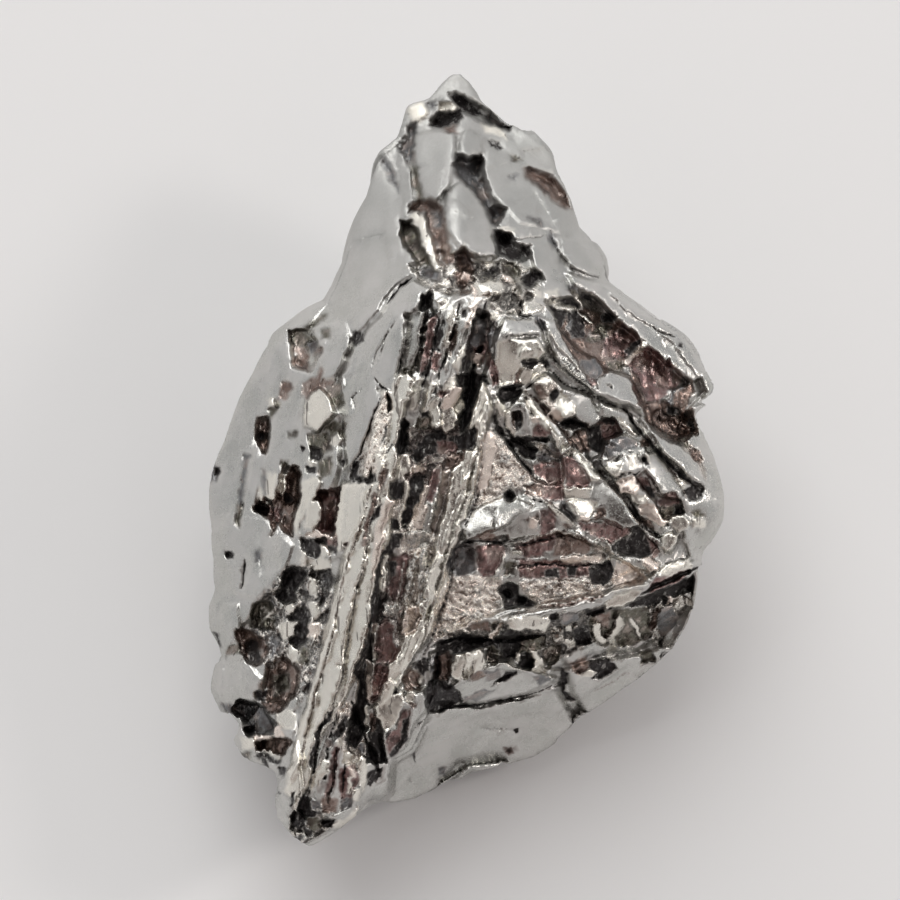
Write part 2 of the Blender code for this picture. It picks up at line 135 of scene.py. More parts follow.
UPPER_FACES = {
    "crest": [(420, 300, 0.10), (485, 380, 0.05), (320, 780, -0.45)],
    "left flank": [(400, 300, -0.35), (296, 770, -0.70), (215, 500, -4.80)],
    "right face": [(500, 330, -0.35), (700, 520, -2.00), (410, 680, -0.50)],
    "belly": [(420, 700, -0.90), (690, 590, -2.60), (530, 750, -5.60)],
    "shoulder": [(530, 300, -0.80), (600, 270, -3.20), (705, 385, -4.00)],
    "tail right": [(500, 280, -0.60), (575, 210, -4.40), (475, 90, -6.10)],
    "tail left": [(430, 280, -0.50), (352, 240, -4.20), (430, 95, -6.20)],
}
NOSE_SPUR = [
    (250, 620), (426, 620), (434, 690), (410, 748), (388, 760), (386, 792), (362, 818), (306, 860),
    (262, 836), (240, 700),
]
NOSE_EDGE = 16
NOSE_LIFT_MM = 8.0
LOWER_FACES = {
    "under left": [(220, 500, -6.5), (352, 330, -10.9), (352, 640, -9.6)],
    "under right": [(715, 505, -4.7), (590, 400, -9.9), (590, 620, -8.9)],
    "under tail": [(457, 75, -7.0), (380, 320, -10.9), (540, 320, -10.9)],
    "under nose": [(320, 835, -4.3), (350, 700, -8.3), (430, 790, -6.8)],
    "under belly": [(530, 755, -6.9), (440, 750, -7.6), (620, 650, -8.3)],
    "ground": [(450, 300, -11.75), (350, 600, -9.05), (550, 600, -9.05)],
}
RIM_POWER = 3.0
FACE_EDGE_MM = 0.22


def outline_reach(angle):
    """The outline's distance from the middle, in pixels, at each angle."""
    corners = np.array(OUTLINE, float) - (MIDDLE_U, MIDDLE_V)
    at = np.arctan2(corners[:, 1], corners[:, 0])
    order = np.argsort(at)
    return np.interp(angle, at[order], np.hypot(*corners.T)[order], period=2 * math.pi)


def rim_depth(angle):
    """The rim's depth at each angle round the middle."""
    rim = np.array(RIM, float)
    at = np.arctan2(rim[:, 1] - MIDDLE_V, rim[:, 0] - MIDDLE_U)
    order = np.argsort(at)
    return np.interp(angle, at[order], rim[order, 2], period=2 * math.pi)


def nearest_face(faces, u, v, lifted):
    """The depth of the lowest of these faces at each point, with rounded edges between them."""
    total = 0
    for name, corners in faces.items():
        corners = np.array(corners, float)
        plane = np.linalg.solve(np.column_stack([corners[:, :2], np.ones(3)]), corners[:, 2])
        depth = plane[0] * u + plane[1] * v + plane[2] + lifted.get(name, 0)
        total = total + np.exp(-depth / FACE_EDGE_MM)
    return -FACE_EDGE_MM * np.log(total)


def mirrored(faces):
    """The same faces with their depths turned round, so that the highest becomes the lowest."""
    return {name: [(u, v, -depth) for u, v, depth in corners] for name, corners in faces.items()}


# %% [markdown]
# ## Drawing on the skin
# Each plate, hollow or crack is an outline or a line in the reference view, drawn over it. Its
# places are written as a text of pairs, across and down, so that a long outline still fits on a line or
# two. One helper reads the text, one says how far inside an outline each point lies, and one how far from a
# line. Only the points near a shape are looked at, so hundreds of shapes stay quick.

# %% Outlines and lines
def places(text):
    """Places in the reference view from a text such as "401 418, 408 424": across and down, in pixels."""
    return [tuple(float(number) for number in pair.split()) for pair in text.split(",")]


def line_distance(u, v, line):
    """Distance from a line of straight stretches, its side (right is positive), and the share along it."""
    line = np.array(line, float)
    lengths = np.hypot(*(line[1:] - line[:-1]).T)
    nearest = np.full(len(u), np.inf)
    side = np.zeros(len(u))
    share = np.zeros(len(u))
    gone = 0
    for start, end, length in zip(line[:-1], line[1:], lengths):
        along = (end - start) / length
        t = np.clip((u - start[0]) * along[0] + (v - start[1]) * along[1], 0, length)
        across = np.hypot(u - start[0] - t * along[0], v - start[1] - t * along[1])
        closer = across < nearest
        nearest = np.where(closer, across, nearest)
        side = np.where(closer, np.sign((u - start[0]) * along[1] - (v - start[1]) * along[0]), side)
        share = np.where(closer, (gone + t) / lengths.sum(), share)
        gone += length
    return nearest, side, share


def near(u, v, corners, margin):
    """Which points lie in the box round a shape."""
    corners = np.array(corners, float)
    low, high = corners.min(0) - margin, corners.max(0) + margin
    return np.flatnonzero((u > low[0]) & (u < high[0]) & (v > low[1]) & (v < high[1]))


def patch(u, v, corners, edge):
    """1 inside an outline, 0 outside, with a slope of that width at its edge."""
    inside = np.zeros(len(u), bool)
    closed = [*corners, corners[0]]
    for (u0, v0), (u1, v1) in zip(closed[:-1], closed[1:]):
        if v0 != v1:
            inside ^= ((v0 > v) != (v1 > v)) & (u < (u1 - u0) * (v - v0) / (v1 - v0) + u0)
    distance = line_distance(u, v, closed)[0]
    return smooth_step(-edge / 2, edge / 2, np.where(inside, distance, -distance))


def add_patch(field, u, v, corners, amount, edge):
    close = near(u, v, corners, edge)
    field[close] += amount * patch(u[close], v[close], corners, edge)


# %% [markdown]
# ## The lump
# An icosphere has an even mesh, so it makes a good start for a lump of clay. Each of its points goes out to
# the outline, and its height is set between the rim and the broad faces. A voxel remesh then gives small
# even squares all over, also on the steep sides that the mapping had stretched.

# %% Make the bare lump
SPHERE_LEVEL = 8
SKIN_VOXEL_MM = 0.056


def lump_points(sphere):
    """Where the vertices of a unit sphere go on the bare lump, before any plate or hollow."""
    across = np.hypot(sphere[:, 0], sphere[:, 1])
    angle = np.arctan2(-sphere[:, 1], sphere[:, 0])
    reach = outline_reach(angle) * across
    u = MIDDLE_U + reach * np.cos(angle)
    v = MIDDLE_V + reach * np.sin(angle)
    spur = NOSE_LIFT_MM * patch(u, v, NOSE_SPUR, NOSE_EDGE)
    upper = nearest_face(UPPER_FACES, u, v, {"belly": spur})
    lower = -nearest_face(mirrored(LOWER_FACES), u, v, {})
    rim = rim_depth(angle)
    share = (1 - np.minimum(across, 1) ** RIM_POWER) ** (1 / RIM_POWER)
    depth = rim + share * np.where(sphere[:, 2] > 0, upper - rim, lower - rim)
    return placed(u, v, depth)


def points_of(mesh):
    points = np.empty(len(mesh.vertices) * 3)
    mesh.vertices.foreach_get("co", points)
    return points.reshape(-1, 3)


def normals_of(mesh):
    normals = np.empty(len(mesh.vertices) * 3)
    mesh.vertex_normals.foreach_get("vector", normals)
    return normals.reshape(-1, 3)


def move_to(mesh, points):
    mesh.vertices.foreach_set("co", points.astype(np.float32).ravel())
    mesh.update()


def apply_modifier(piece, kind, **settings):
    modifier = piece.modifiers.new(kind.title(), kind)
    for name, value in settings.items():
        setattr(modifier, name, value)
    bpy.ops.object.modifier_apply(modifier=modifier.name)


bpy.ops.object.select_all(action="DESELECT")
bpy.ops.mesh.primitive_ico_sphere_add(subdivisions=SPHERE_LEVEL, radius=1)
skin = bpy.context.object
skin.name = skin.data.name = "meteorite_skin"
move_to(skin.data, lump_points(points_of(skin.data)))
apply_modifier(skin, "REMESH", mode="VOXEL", voxel_size=SKIN_VOXEL_MM)
print("the lump has", len(skin.data.vertices), "vertices")

# %% [markdown]
# ## Torn plates all over
# Nickel-iron parts along flat crystal plates that all lie in the same few directions. A cell pattern
# stretched along the grain gives each cell its own step and tilt, as the solid has it, and it also runs
# over the underside.

# %% Cell patterns and noise
GRAIN_FROM = (430, 290, 0.0)
GRAIN_TO = (305, 840, -1.0)
PLATE_SIZE_MM = 1.7
PLATE_STRETCH = 2.6
PLATE_STEP_MM = 0.20
PLATE_TILT = 0.12


def scattered(cells, seed, channel):
    """A number from 0 to 1 for each whole-numbered cell, the same each run."""
    mixed = cells @ np.array([127.1, 311.7, 74.7]) + 17.13 * seed + 5.31 * channel
    return np.modf(np.abs(np.sin(mixed) * 43758.5453))[0]


def grain_axes():
    """Axes whose second one runs along the stone's plates, as rows."""
    ends = [placed(np.array(u), np.array(v), np.array(w)) for u, v, w in (GRAIN_FROM, GRAIN_TO)]
    along = (ends[1] - ends[0]) / np.linalg.norm(ends[1] - ends[0])
    side = np.cross(along, view_axes()[2])
    side = side / np.linalg.norm(side)
    return np.array([side, along, np.cross(side, along)])


def plates(points, seed, size, stretch, step, tilt):
    """Steps and tilts of a pattern of torn plates, in millimetres, and the distance to the next plate."""
    spots = points @ grain_axes().T / (size * np.array([1, stretch, 1]))
    base = np.floor(spots)
    first = np.full(len(spots), np.inf)
    second = np.full(len(spots), np.inf)
    height = np.zeros(len(spots))
    for shift in np.ndindex(3, 3, 3):
        cell = base + np.array(shift) - 1
        jitter = np.stack([scattered(cell, seed, k) for k in range(3)], axis=1)
        away = spots - cell - jitter
        distance = np.linalg.norm(away, axis=1)
        turn = np.stack([scattered(cell, seed, k) for k in range(3, 6)], axis=1) - 0.5
        own = step * (scattered(cell, seed, 6) - 0.5) + tilt * (away * turn).sum(1) * size
        closer = distance < first
        second = np.where(closer, first, np.minimum(second, distance))
        height = np.where(closer, own, height)
        first = np.minimum(first, distance)
    return height, second - first


def noise(spots, seed):
    """Smooth noise from -1 to 1 with a bump about every whole number."""
    base = np.floor(spots)
    part = spots - base
    part = part * part * (3 - 2 * part)
    total = np.zeros(len(spots))
    for corner in np.ndindex(2, 2, 2):
        corner = np.array(corner)
        weight = np.prod(np.where(corner, part, 1 - part), axis=1)
        total += weight * scattered(base + corner, seed, 0)
    return 2 * total - 1


# %% [markdown]
# ## The shapes that can be named
# These are the plates, hollows and cracks that the solid has too. They are kept in three groups: what
# stands proud, what lies deeper, and long cracks.

# %% Large plates, hollows and cracks
RAISED = {
    # The two crest plates carry the pale tone: partly a paler metal, partly a painted highlight.
    "left crest plates": ("378 394, 404 372, 414 380, 400 430, 396 480, 389 540, 378 600, 368 650, "
                          "345 700, 322 735, 312 775, 298 806, 284 790, 300 730, 318 660, 335 590, "
                          "352 530, 364 470", 0.42, 4, "pale"),
    "right crest plate": ("483 376, 492 410, 482 452, 470 500, 457 545, 446 590, 432 630, 408 665, "
                          "386 712, 375 700, 398 652, 420 600, 436 550, 450 500, 461 460, "
                          "470 420", 0.40, 4, "pale"),
    "upper slivers": ("436 312, 470 292, 497 284, 484 318, 466 366, 452 424, 436 430, 424 410, "
                      "430 350", 0.30, 5),
    "smooth plate": ("412 281, 431 290, 408 322, 400 356, 390 392, 368 384, 345 400, 340 380, 352 345, "
                     "384 318, 390 300", 0.18, 4),
    "lower smooth plate": ("342 484, 372 484, 358 530, 338 556, 334 530", 0.20, 4),
    "striped nose": ("340 706, 352 735, 362 790, 345 822, 316 812, 314 770, 324 735", 0.22, 5),
    "nose lobe": ("280 780, 300 760, 302 800, 296 828, 280 818, 277 800", 0.28, 6),
    "knob": ("503 321, 536 322, 547 345, 549 358, 526 364, 516 385, 500 388, 494 364, 497 338", 0.50, 5),
    "rose block": ("530 382, 546 374, 562 386, 590 399, 601 420, 590 428, 574 416, 560 421, "
                   "545 405", 0.34, 4),
    "diagonal block": ("522 392, 535 400, 560 430, 574 450, 560 456, 538 444, 518 438, 505 420, "
                       "512 404", 0.32, 4),
    "cracked block": ("604 440, 625 434, 646 446, 647 470, 626 480, 604 472, 599 455", 0.36, 4),
    "fan plate": ("540 318, 556 322, 580 352, 604 372, 630 376, 641 398, 645 416, 624 405, 594 394, "
                  "560 366", 0.40, 4),
    "long right plate": ("642 418, 658 430, 682 446, 702 468, 706 486, 690 480, 664 452", 0.42, 4),
    "slanting plate": ("590 476, 606 480, 641 525, 625 537, 600 516, 570 502, 574 486", 0.30, 4),
    "narrow plate": ("645 455, 656 452, 681 490, 678 501, 662 496, 650 475", 0.30, 3),
    "middle plate": ("458 524, 480 506, 506 495, 532 505, 522 517, 492 531, 464 541", 0.26, 4),
    "upper ledge": ("500 617, 560 604, 612 590, 655 575, 692 560, 700 563, 690 576, 650 594, 600 606, "
                    "552 622, 510 635, 492 640", 0.34, 4),
    "lower ledge": ("446 690, 442 676, 478 671, 500 662, 530 670, 560 680, 561 690, 520 698, "
                    "470 704", 0.34, 4),
    "white chunk": ("447 661, 460 645, 486 646, 491 660, 470 680, 450 677", 0.40, 4),
    "hanging lump": ("385 760, 381 726, 398 697, 424 690, 429 705, 411 731, 405 747", 0.46, 5),
    "tail plate": ("417 135, 450 127, 456 160, 446 190, 425 199, 414 170", 0.26, 6),
    "tail root plate": ("447 196, 460 181, 476 195, 490 220, 499 250, 489 266, 465 251, 447 225", 0.30, 6),
    "shoulder rim": ("566 272, 606 286, 640 308, 688 338, 714 385, 708 402, 684 378, 650 347, 620 322, "
                     "598 300, 574 287", 0.26, 6),
    "pale flank plate": ("304 400, 318 388, 329 395, 336 415, 320 431, 303 425", 0.26, 5),
    "flank foot": ("276 736, 296 722, 302 760, 290 782, 278 764", 0.30, 6),
}
HOLLOWS = {
    "crest channel": ("404 430, 470 430, 462 462, 449 490, 436 540, 420 595, 399 648, 378 700, 372 760, "
                      "356 772, 346 735, 362 690, 375 630, 384 570, 395 500", 0.26, 5),
    "black gap": ("476 308, 492 322, 488 366, 480 384, 466 430, 452 432, 465 390, 470 345", 0.45, 5),
    "sliver channel": ("425 300, 434 312, 424 350, 418 372, 404 372, 410 330", 0.40, 4),
    "shoulder hollow": ("548 306, 566 298, 590 294, 602 302, 618 322, 646 348, 672 368, 703 388, 690 408, "
                        "697 430, 672 442, 650 428, 642 400, 628 378, 604 370, 578 350, 560 326", 0.65, 6),
    "tail root": ("410 266, 440 250, 475 256, 500 228, 530 254, 542 286, 500 284, 450 296, "
                  "420 285", 0.42, 7),
    "recess": ("452 548, 500 536, 560 532, 600 548, 650 577, 600 594, 500 610, 440 634, 434 608", 0.42, 5),
    "under ledge": ("430 652, 470 638, 540 634, 600 606, 660 594, 702 570, 698 600, 680 640, 640 656, "
                    "600 662, 560 670, 520 668, 492 654, 446 690, 436 676", 0.60, 5),
    "block gap": ("577 432, 600 421, 616 422, 621 432, 606 440, 600 456, 590 461", 0.50, 4),
    "dark gap": ("500 432, 545 448, 566 458, 560 486, 536 482, 516 452", 0.36, 5),
    "small pocket": ("655 492, 680 500, 684 512, 670 521, 656 508", 0.40, 4),
    "rust star": ("284 464, 300 474, 298 502, 291 536, 274 518, 254 511, 258 499, 279 493", 0.60, 6),
    "upper flank pit": ("289 332, 312 330, 320 350, 310 372, 292 366", 0.40, 8),
    "flank slot": ("318 494, 341 488, 346 510, 336 530, 332 556, 318 541, 325 515", 0.52, 5),
    "rim slot": ("258 418, 268 416, 270 438, 262 452, 256 438", 0.45, 6),
    "crumbled zone": ("292 568, 346 556, 334 620, 318 652, 296 662, 250 664, 238 632, 262 606", 0.36, 7),
    "grey hollow": ("268 668, 284 656, 300 668, 298 690, 282 704, 262 698", 0.60, 7),
    "low hollow": ("240 702, 262 704, 278 726, 268 738, 246 734", 0.60, 7),
    "low pocket": ("256 742, 288 738, 284 754, 266 758", 0.50, 5),
    "tail crevice": ("430 118, 458 94, 482 104, 512 122, 500 130, 462 110, 442 126", 0.50, 6),
    "tail hollow": ("454 160, 481 155, 484 176, 489 195, 506 210, 496 226, 480 202, 462 186", 0.46, 6),
    "tail groove": ("416 198, 440 208, 440 236, 448 266, 436 266, 424 236", 0.36, 6),
    "tail left groove": ("400 220, 414 224, 422 246, 434 270, 420 268, 406 244", 0.36, 6),
    "tail right groove": ("528 168, 552 180, 573 202, 556 200, 534 182", 0.34, 6),
    "eye pit": ("404 672, 416 663, 432 670, 430 686, 414 691", 0.40, 4),
}
CRACKS = {
    "crest crack": ("390 556, 380 610, 370 660, 360 706, 352 760", 7, 0.35),
    "plate crack": ("413 279, 396 288, 384 306, 368 328, 352 342, 346 366, 337 384", 5, 0.20),
    "slanting crack": ("572 452, 600 475, 620 495, 640 520, 656 536", 5, 0.28),
    "flank valley": ("346 420, 346 470, 330 520, 316 580", 10, 0.30),
    "belly valley": ("562 676, 568 698, 578 712, 586 730", 12, 0.45),
    "belly shelf": ("446 784, 462 768, 500 764", 12, 0.35),
    "ledge crack": ("440 704, 480 705, 520 698, 562 684", 5, 0.30),
}

# %% [markdown]
# ## Thin sheets
# Where the crystals end, the metal stands up in thin sheets, like the pages of a wet book. Each sheet is a
# line down its middle, half its width, and the heights of its left and right edge. Unlike heights give it a
# lean, and the lean decides what it mirrors: a sheet that leans away from the viewer shows the pale
# surroundings.

# %% Sheets
SHEETS = {
    "crest outer": ("360 486, 352 520, 341 560, 331 600, 325 640, 311 680, 301 720, "
                    "296 765", 9, -0.10, 0.14),
    "crest middle": ("386 424, 378 470, 369 510, 358 560, 347 600, 341 640, 333 680, 319 720, "
                     "312 752", 6.5, 0.02, 0.20),
    "crest inner": ("402 396, 394 440, 385 480, 377 530, 369 580, 357 640, 347 684", 7, 0.02, 0.24),
    "blade left": ("481 392, 474 430, 463 470, 450 510, 440 550, 428 600, 412 645, 398 672", 6, 0.24, 0.02),
    "blade right": ("487 405, 481 445, 470 490, 457 535, 447 575, 436 615, 417 655, "
                    "392 704", 6, 0.20, -0.06),
    "plate lip": ("420 297, 409 328, 401 362, 395 388", 3.2, 0.02, 0.16),
    "sliver one": ("421 310, 414 336, 408 362", 3.2, 0.12, 0.02),
    "sliver two": ("433 312, 428 345, 422 376", 3.0, 0.10, 0.00),
    "sliver three": ("453 304, 446 332, 438 356, 430 384", 5, 0.16, 0.02),
    "sliver four": ("468 302, 460 334, 450 364, 442 388", 4.5, 0.04, 0.18),
    "rod": ("498 284, 486 291, 479 312, 473 340, 465 362", 5.5, 0.24, 0.16),
    "dark sliver": ("496 302, 499 330, 494 356, 491 380", 4, 0.10, 0.00),
    "flake one": ("436 384, 428 398, 422 414", 6, 0.10, 0.22),
    "flake two": ("456 384, 449 404, 444 428", 7, 0.06, 0.20),
    "fan outer": ("544 306, 556 330, 568 352, 585 373, 602 388", 6, 0.02, 0.20),
    "fan middle": ("534 324, 547 346, 561 363, 580 381, 597 392", 3, 0.00, 0.12),
    "fan inner": ("546 354, 560 369, 576 384, 594 395", 2.6, -0.02, 0.10),
    "rim band": ("608 286, 640 308, 676 334, 698 360, 706 384", 9, 0.12, -0.06),
    "long band": ("646 424, 664 440, 684 458, 700 478", 9, 0.10, -0.06),
    "upper ledge": ("500 621, 548 608, 600 598, 650 583, 692 565", 4.5, 0.16, 0.02),
    "ledge plate": ("502 627, 526 622, 548 619", 6, 0.04, 0.16),
    "glitter sheet": ("440 631, 470 628, 500 618", 5, 0.04, 0.12),
    "lower ledge lip": ("450 686, 468 676, 500 664, 530 671, 560 681", 4, 0.14, 0.04),
    "lip under": ("446 700, 480 700, 520 692, 560 684", 3.5, 0.10, 0.02),
    "bright ridge": ("504 544, 530 538, 560 531, 575 534, 592 545, 604 541, 612 550, "
                     "606 560", 2.2, 0.14, 0.14),
    "short ridge": ("615 555, 630 566, 645 578, 656 584", 2.2, 0.12, 0.12),
    "corner ridge": ("503 552, 502 564, 494 576", 2.2, 0.10, 0.10),
    "ring": ("595 545, 600 540, 607 543, 611 551, 608 560", 1.8, 0.14, 0.14),
    "ridge right": ("642 522, 650 532, 660 544", 1.6, 0.14, 0.14),
    "ridge left": ("614 545, 625 537, 634 530", 1.6, 0.12, 0.12),
    "ridge low": ("560 604, 600 597, 620 590, 652 583", 1.8, 0.14, 0.10),
    "channel ridge": ("438 486, 434 508, 430 532", 1.8, 0.14, 0.14),
    "blade ridge": ("478 448, 475 472, 471 496", 1.8, 0.16, 0.16),
    "glint ridge": ("423 550, 426 572, 425 602", 2.0, 0.14, 0.14),
    "nose stripe one": ("331 708, 322 740, 318 780, 306 812", 3.2, 0.16, 0.02),
    "nose stripe two": ("341 712, 333 745, 328 785, 322 806", 2.8, 0.02, 0.16),
    "nose stripe three": ("349 724, 340 755, 336 790, 333 808", 2.6, 0.14, 0.02),
    "nose stripe four": ("354 748, 350 775, 345 800", 4.5, 0.04, 0.14),
    "nose edge": ("364 742, 364 770, 362 795, 350 812, 330 818", 3.2, 0.14, 0.04),
    "leaf rim": ("384 738, 390 722, 404 702, 414 706, 410 728, 398 752", 2.4, 0.14, 0.14),
    "tail ridge": ("416 214, 424 232, 430 250, 437 268", 3.2, 0.14, 0.10),
    "tail side sheet": ("400 150, 405 176, 408 200, 404 214", 5, 0.04, 0.14),
    "hollow bar": ("644 344, 634 352, 624 364", 4, 0.24, 0.10),
    "hollow streak": ("579 312, 590 320", 3, 0.16, 0.10),
}

# %% [markdown]
# ## Small plates
# Between the sheets lie small plates with sharp outlines. Each has an outline, a rise, the way that it
# slopes down (0 is right, 90 is down the view), and how steeply.

# %% Small plates
FACETS = {
    "big crest plate": ("413 282, 429 291, 417 306, 408 330, 400 360, 391 392, 378 386, 371 372, 362 352, "
                        "372 330, 389 306, 398 291", 0.10, 180, 0.10, 3),
    "flank tongue": ("346 378, 362 372, 376 386, 382 398, 370 425, 360 452, 350 470, 344 440, "
                     "340 408", 0.10, 170, 0.15, 3),
    "upper flank plate": ("322 322, 345 322, 350 340, 342 362, 336 378, 318 382, "
                          "322 350", 0.12, 200, 0.10, 4),
    "pale plate": ("305 402, 318 388, 328 394, 334 414, 320 430, 305 426", 0.10, 120, 0.15, 4),
    "knob cap": ("503 320, 536 321, 541 335, 504 338", 0.08, 270, 0.55, 3),
    # The knob face carries the pale tone, a painted highlight.
    "knob face": ("499 342, 538 340, 546 352, 538 362, 524 362, 515 384, 500 386, "
                  "495 364", 0.06, 160, 0.62, 3, "pale"),
    "leaf": ("600 373, 618 375, 630 378, 637 392, 642 410, 634 407, 618 399, 600 391", 0.10, 250, 0.45, 3),
    "crack side plate": ("600 403, 622 409, 632 420, 640 436, 628 430, 612 420, "
                         "600 416", 0.08, 60, 0.40, 3),
    "rose block face": ("562 390, 588 397, 600 412, 598 422, 588 428, 574 414, 562 402", 0.12, 30, 0.45, 3),
    "diagonal face": ("524 397, 536 400, 556 424, 573 449, 562 454, 548 436, 532 416", 0.12, 210, 0.55, 3),
    "pit surround": ("508 410, 516 402, 527 402, 531 416, 526 433, 514 438, 505 426", 0.10, 120, 0.30, 3),
    "cracked left": ("603 446, 613 437, 626 438, 622 456, 604 462", 0.10, 200, 0.40, 3),
    "cracked right": ("627 439, 644 446, 644 464, 634 474, 606 468, 622 457", 0.10, 340, 0.40, 3),
    "narrow face": ("645 455, 656 453, 680 486, 682 496, 668 497, 655 484, 646 470", 0.10, 330, 0.45, 3),
    "slanted block top": ("620 478, 633 476, 648 494, 664 516, 668 526, 654 520, "
                          "636 500", 0.16, 40, 0.40, 3),
    "slanting face": ("590 479, 605 481, 624 500, 640 524, 632 530, 612 520, 590 518, 574 506, "
                      "577 490", 0.10, 230, 0.40, 3),
    "white corner": ("660 535, 672 532, 680 540, 672 552, 662 548", 0.16, 220, 0.50, 3),
    "corner block": ("682 516, 694 518, 700 540, 690 556, 684 540", 0.14, 340, 0.50, 3),
    "purple facet left": ("540 458, 560 458, 562 484, 544 484", -0.04, 200, 0.15, 3),
    "purple facet right": ("563 456, 578 455, 590 476, 588 487, 566 486", 0.04, 20, 0.15, 3),
    "purple edge": ("566 455, 580 450, 592 464, 600 479, 592 478, 580 458", 0.12, 250, 0.50, 3),
    "middle left": ("459 523, 476 508, 498 504, 492 528, 466 540", 0.10, 240, 0.40, 3),
    "middle right": ("498 503, 516 498, 532 504, 520 512, 506 524, 494 530", 0.10, 300, 0.40, 3),
    "brown face": ("520 513, 545 508, 560 514, 572 529, 540 534, 508 540, 506 526", 0.06, 80, 0.15, 3),
    "brown band": ("545 503, 562 512, 576 527, 566 522, 550 512", 0.12, 260, 0.50, 3),
    "plate by band": ("566 500, 590 503, 600 512, 596 520, 576 520, 562 504", 0.08, 300, 0.45, 3),
    "shadow facet": ("586 523, 618 525, 624 531, 612 544, 600 545, 588 534", 0.02, 60, 0.20, 3),
    "black facet": ("612 547, 634 526, 650 536, 658 548, 640 557, 620 555", -0.10, 90, 0.15, 3),
    "recess left": ("456 552, 476 544, 476 574, 456 576", -0.05, 200, 0.25, 3),
    "recess middle": ("478 548, 502 546, 500 568, 480 576", 0.02, 20, 0.20, 3),
    "recess long": ("506 545, 548 538, 552 558, 510 562", 0.00, 90, 0.10, 3),
    "recess brown": ("552 537, 572 536, 590 548, 600 558, 556 560", 0.02, 60, 0.15, 3),
    "ledge corner": ("612 594, 640 588, 634 600, 614 606", 0.10, 250, 0.40, 3),
    "pink corner": ("656 572, 688 562, 680 570, 660 580", 0.10, 250, 0.45, 3),
    "chunk left": ("448 662, 458 648, 464 650, 462 678, 450 677", 0.18, 200, 0.60, 3),
    "chunk middle": ("464 650, 474 647, 476 672, 463 678", 0.20, 100, 0.55, 3),
    "chunk right": ("475 647, 486 648, 490 660, 477 672", 0.18, 330, 0.60, 3),
    "leaf face": ("386 740, 394 724, 406 706, 411 710, 408 730, 396 752", -0.10, 60, 0.15, 3),
    "red strip one": ("390 562, 405 557, 402 598, 394 603, 388 586", 0.06, 200, 0.10, 3),
    "red strip two": ("379 624, 397 620, 395 648, 389 662, 377 658", 0.08, 200, 0.10, 3),
    "red strip three": ("431 470, 441 467, 438 500, 430 530, 424 530, 428 496", 0.10, 20, 0.15, 3),
    "hollow purple": ("606 330, 624 326, 641 344, 622 360, 606 352", 0.10, 120, 0.25, 4),
    "hollow big facet": ("646 349, 664 360, 684 382, 672 396, 660 402, 642 400, "
                         "632 376", 0.14, 140, 0.15, 4),
    "hollow curl": ("668 402, 678 388, 702 378, 706 392, 694 404, 684 416", 0.20, 100, 0.35, 4),
    "hollow left": ("566 322, 580 330, 598 352, 604 366, 586 352, 570 336", 0.10, 60, 0.25, 4),
    "grey floor": ("268 670, 284 660, 298 670, 296 688, 282 700, 264 694", 0.06, 100, 0.15, 4),
    "mid flank plate": ("222 512, 262 520, 292 545, 286 566, 256 600, 228 590, "
                        "218 550", 0.10, 190, 0.05, 5),
    "low flank plate": ("222 664, 244 660, 262 680, 254 698, 232 700, 220 690", 0.14, 160, 0.10, 5),
    "rim flank plate": ("222 604, 238 604, 240 640, 226 648, 219 630", 0.14, 200, 0.10, 5),
    "tail block": ("459 132, 476 130, 484 150, 470 156, 458 154", 0.10, 300, 0.20, 4),
    "tail right block": ("488 148, 520 160, 548 182, 566 208, 560 232, 520 222, 506 208, 492 190, "
                         "484 168", 0.10, 320, 0.10, 5),
    "shoulder lobe": ("556 236, 580 240, 600 252, 606 270, 600 278, 576 270, 560 254", 0.16, 320, 0.10, 5),
}
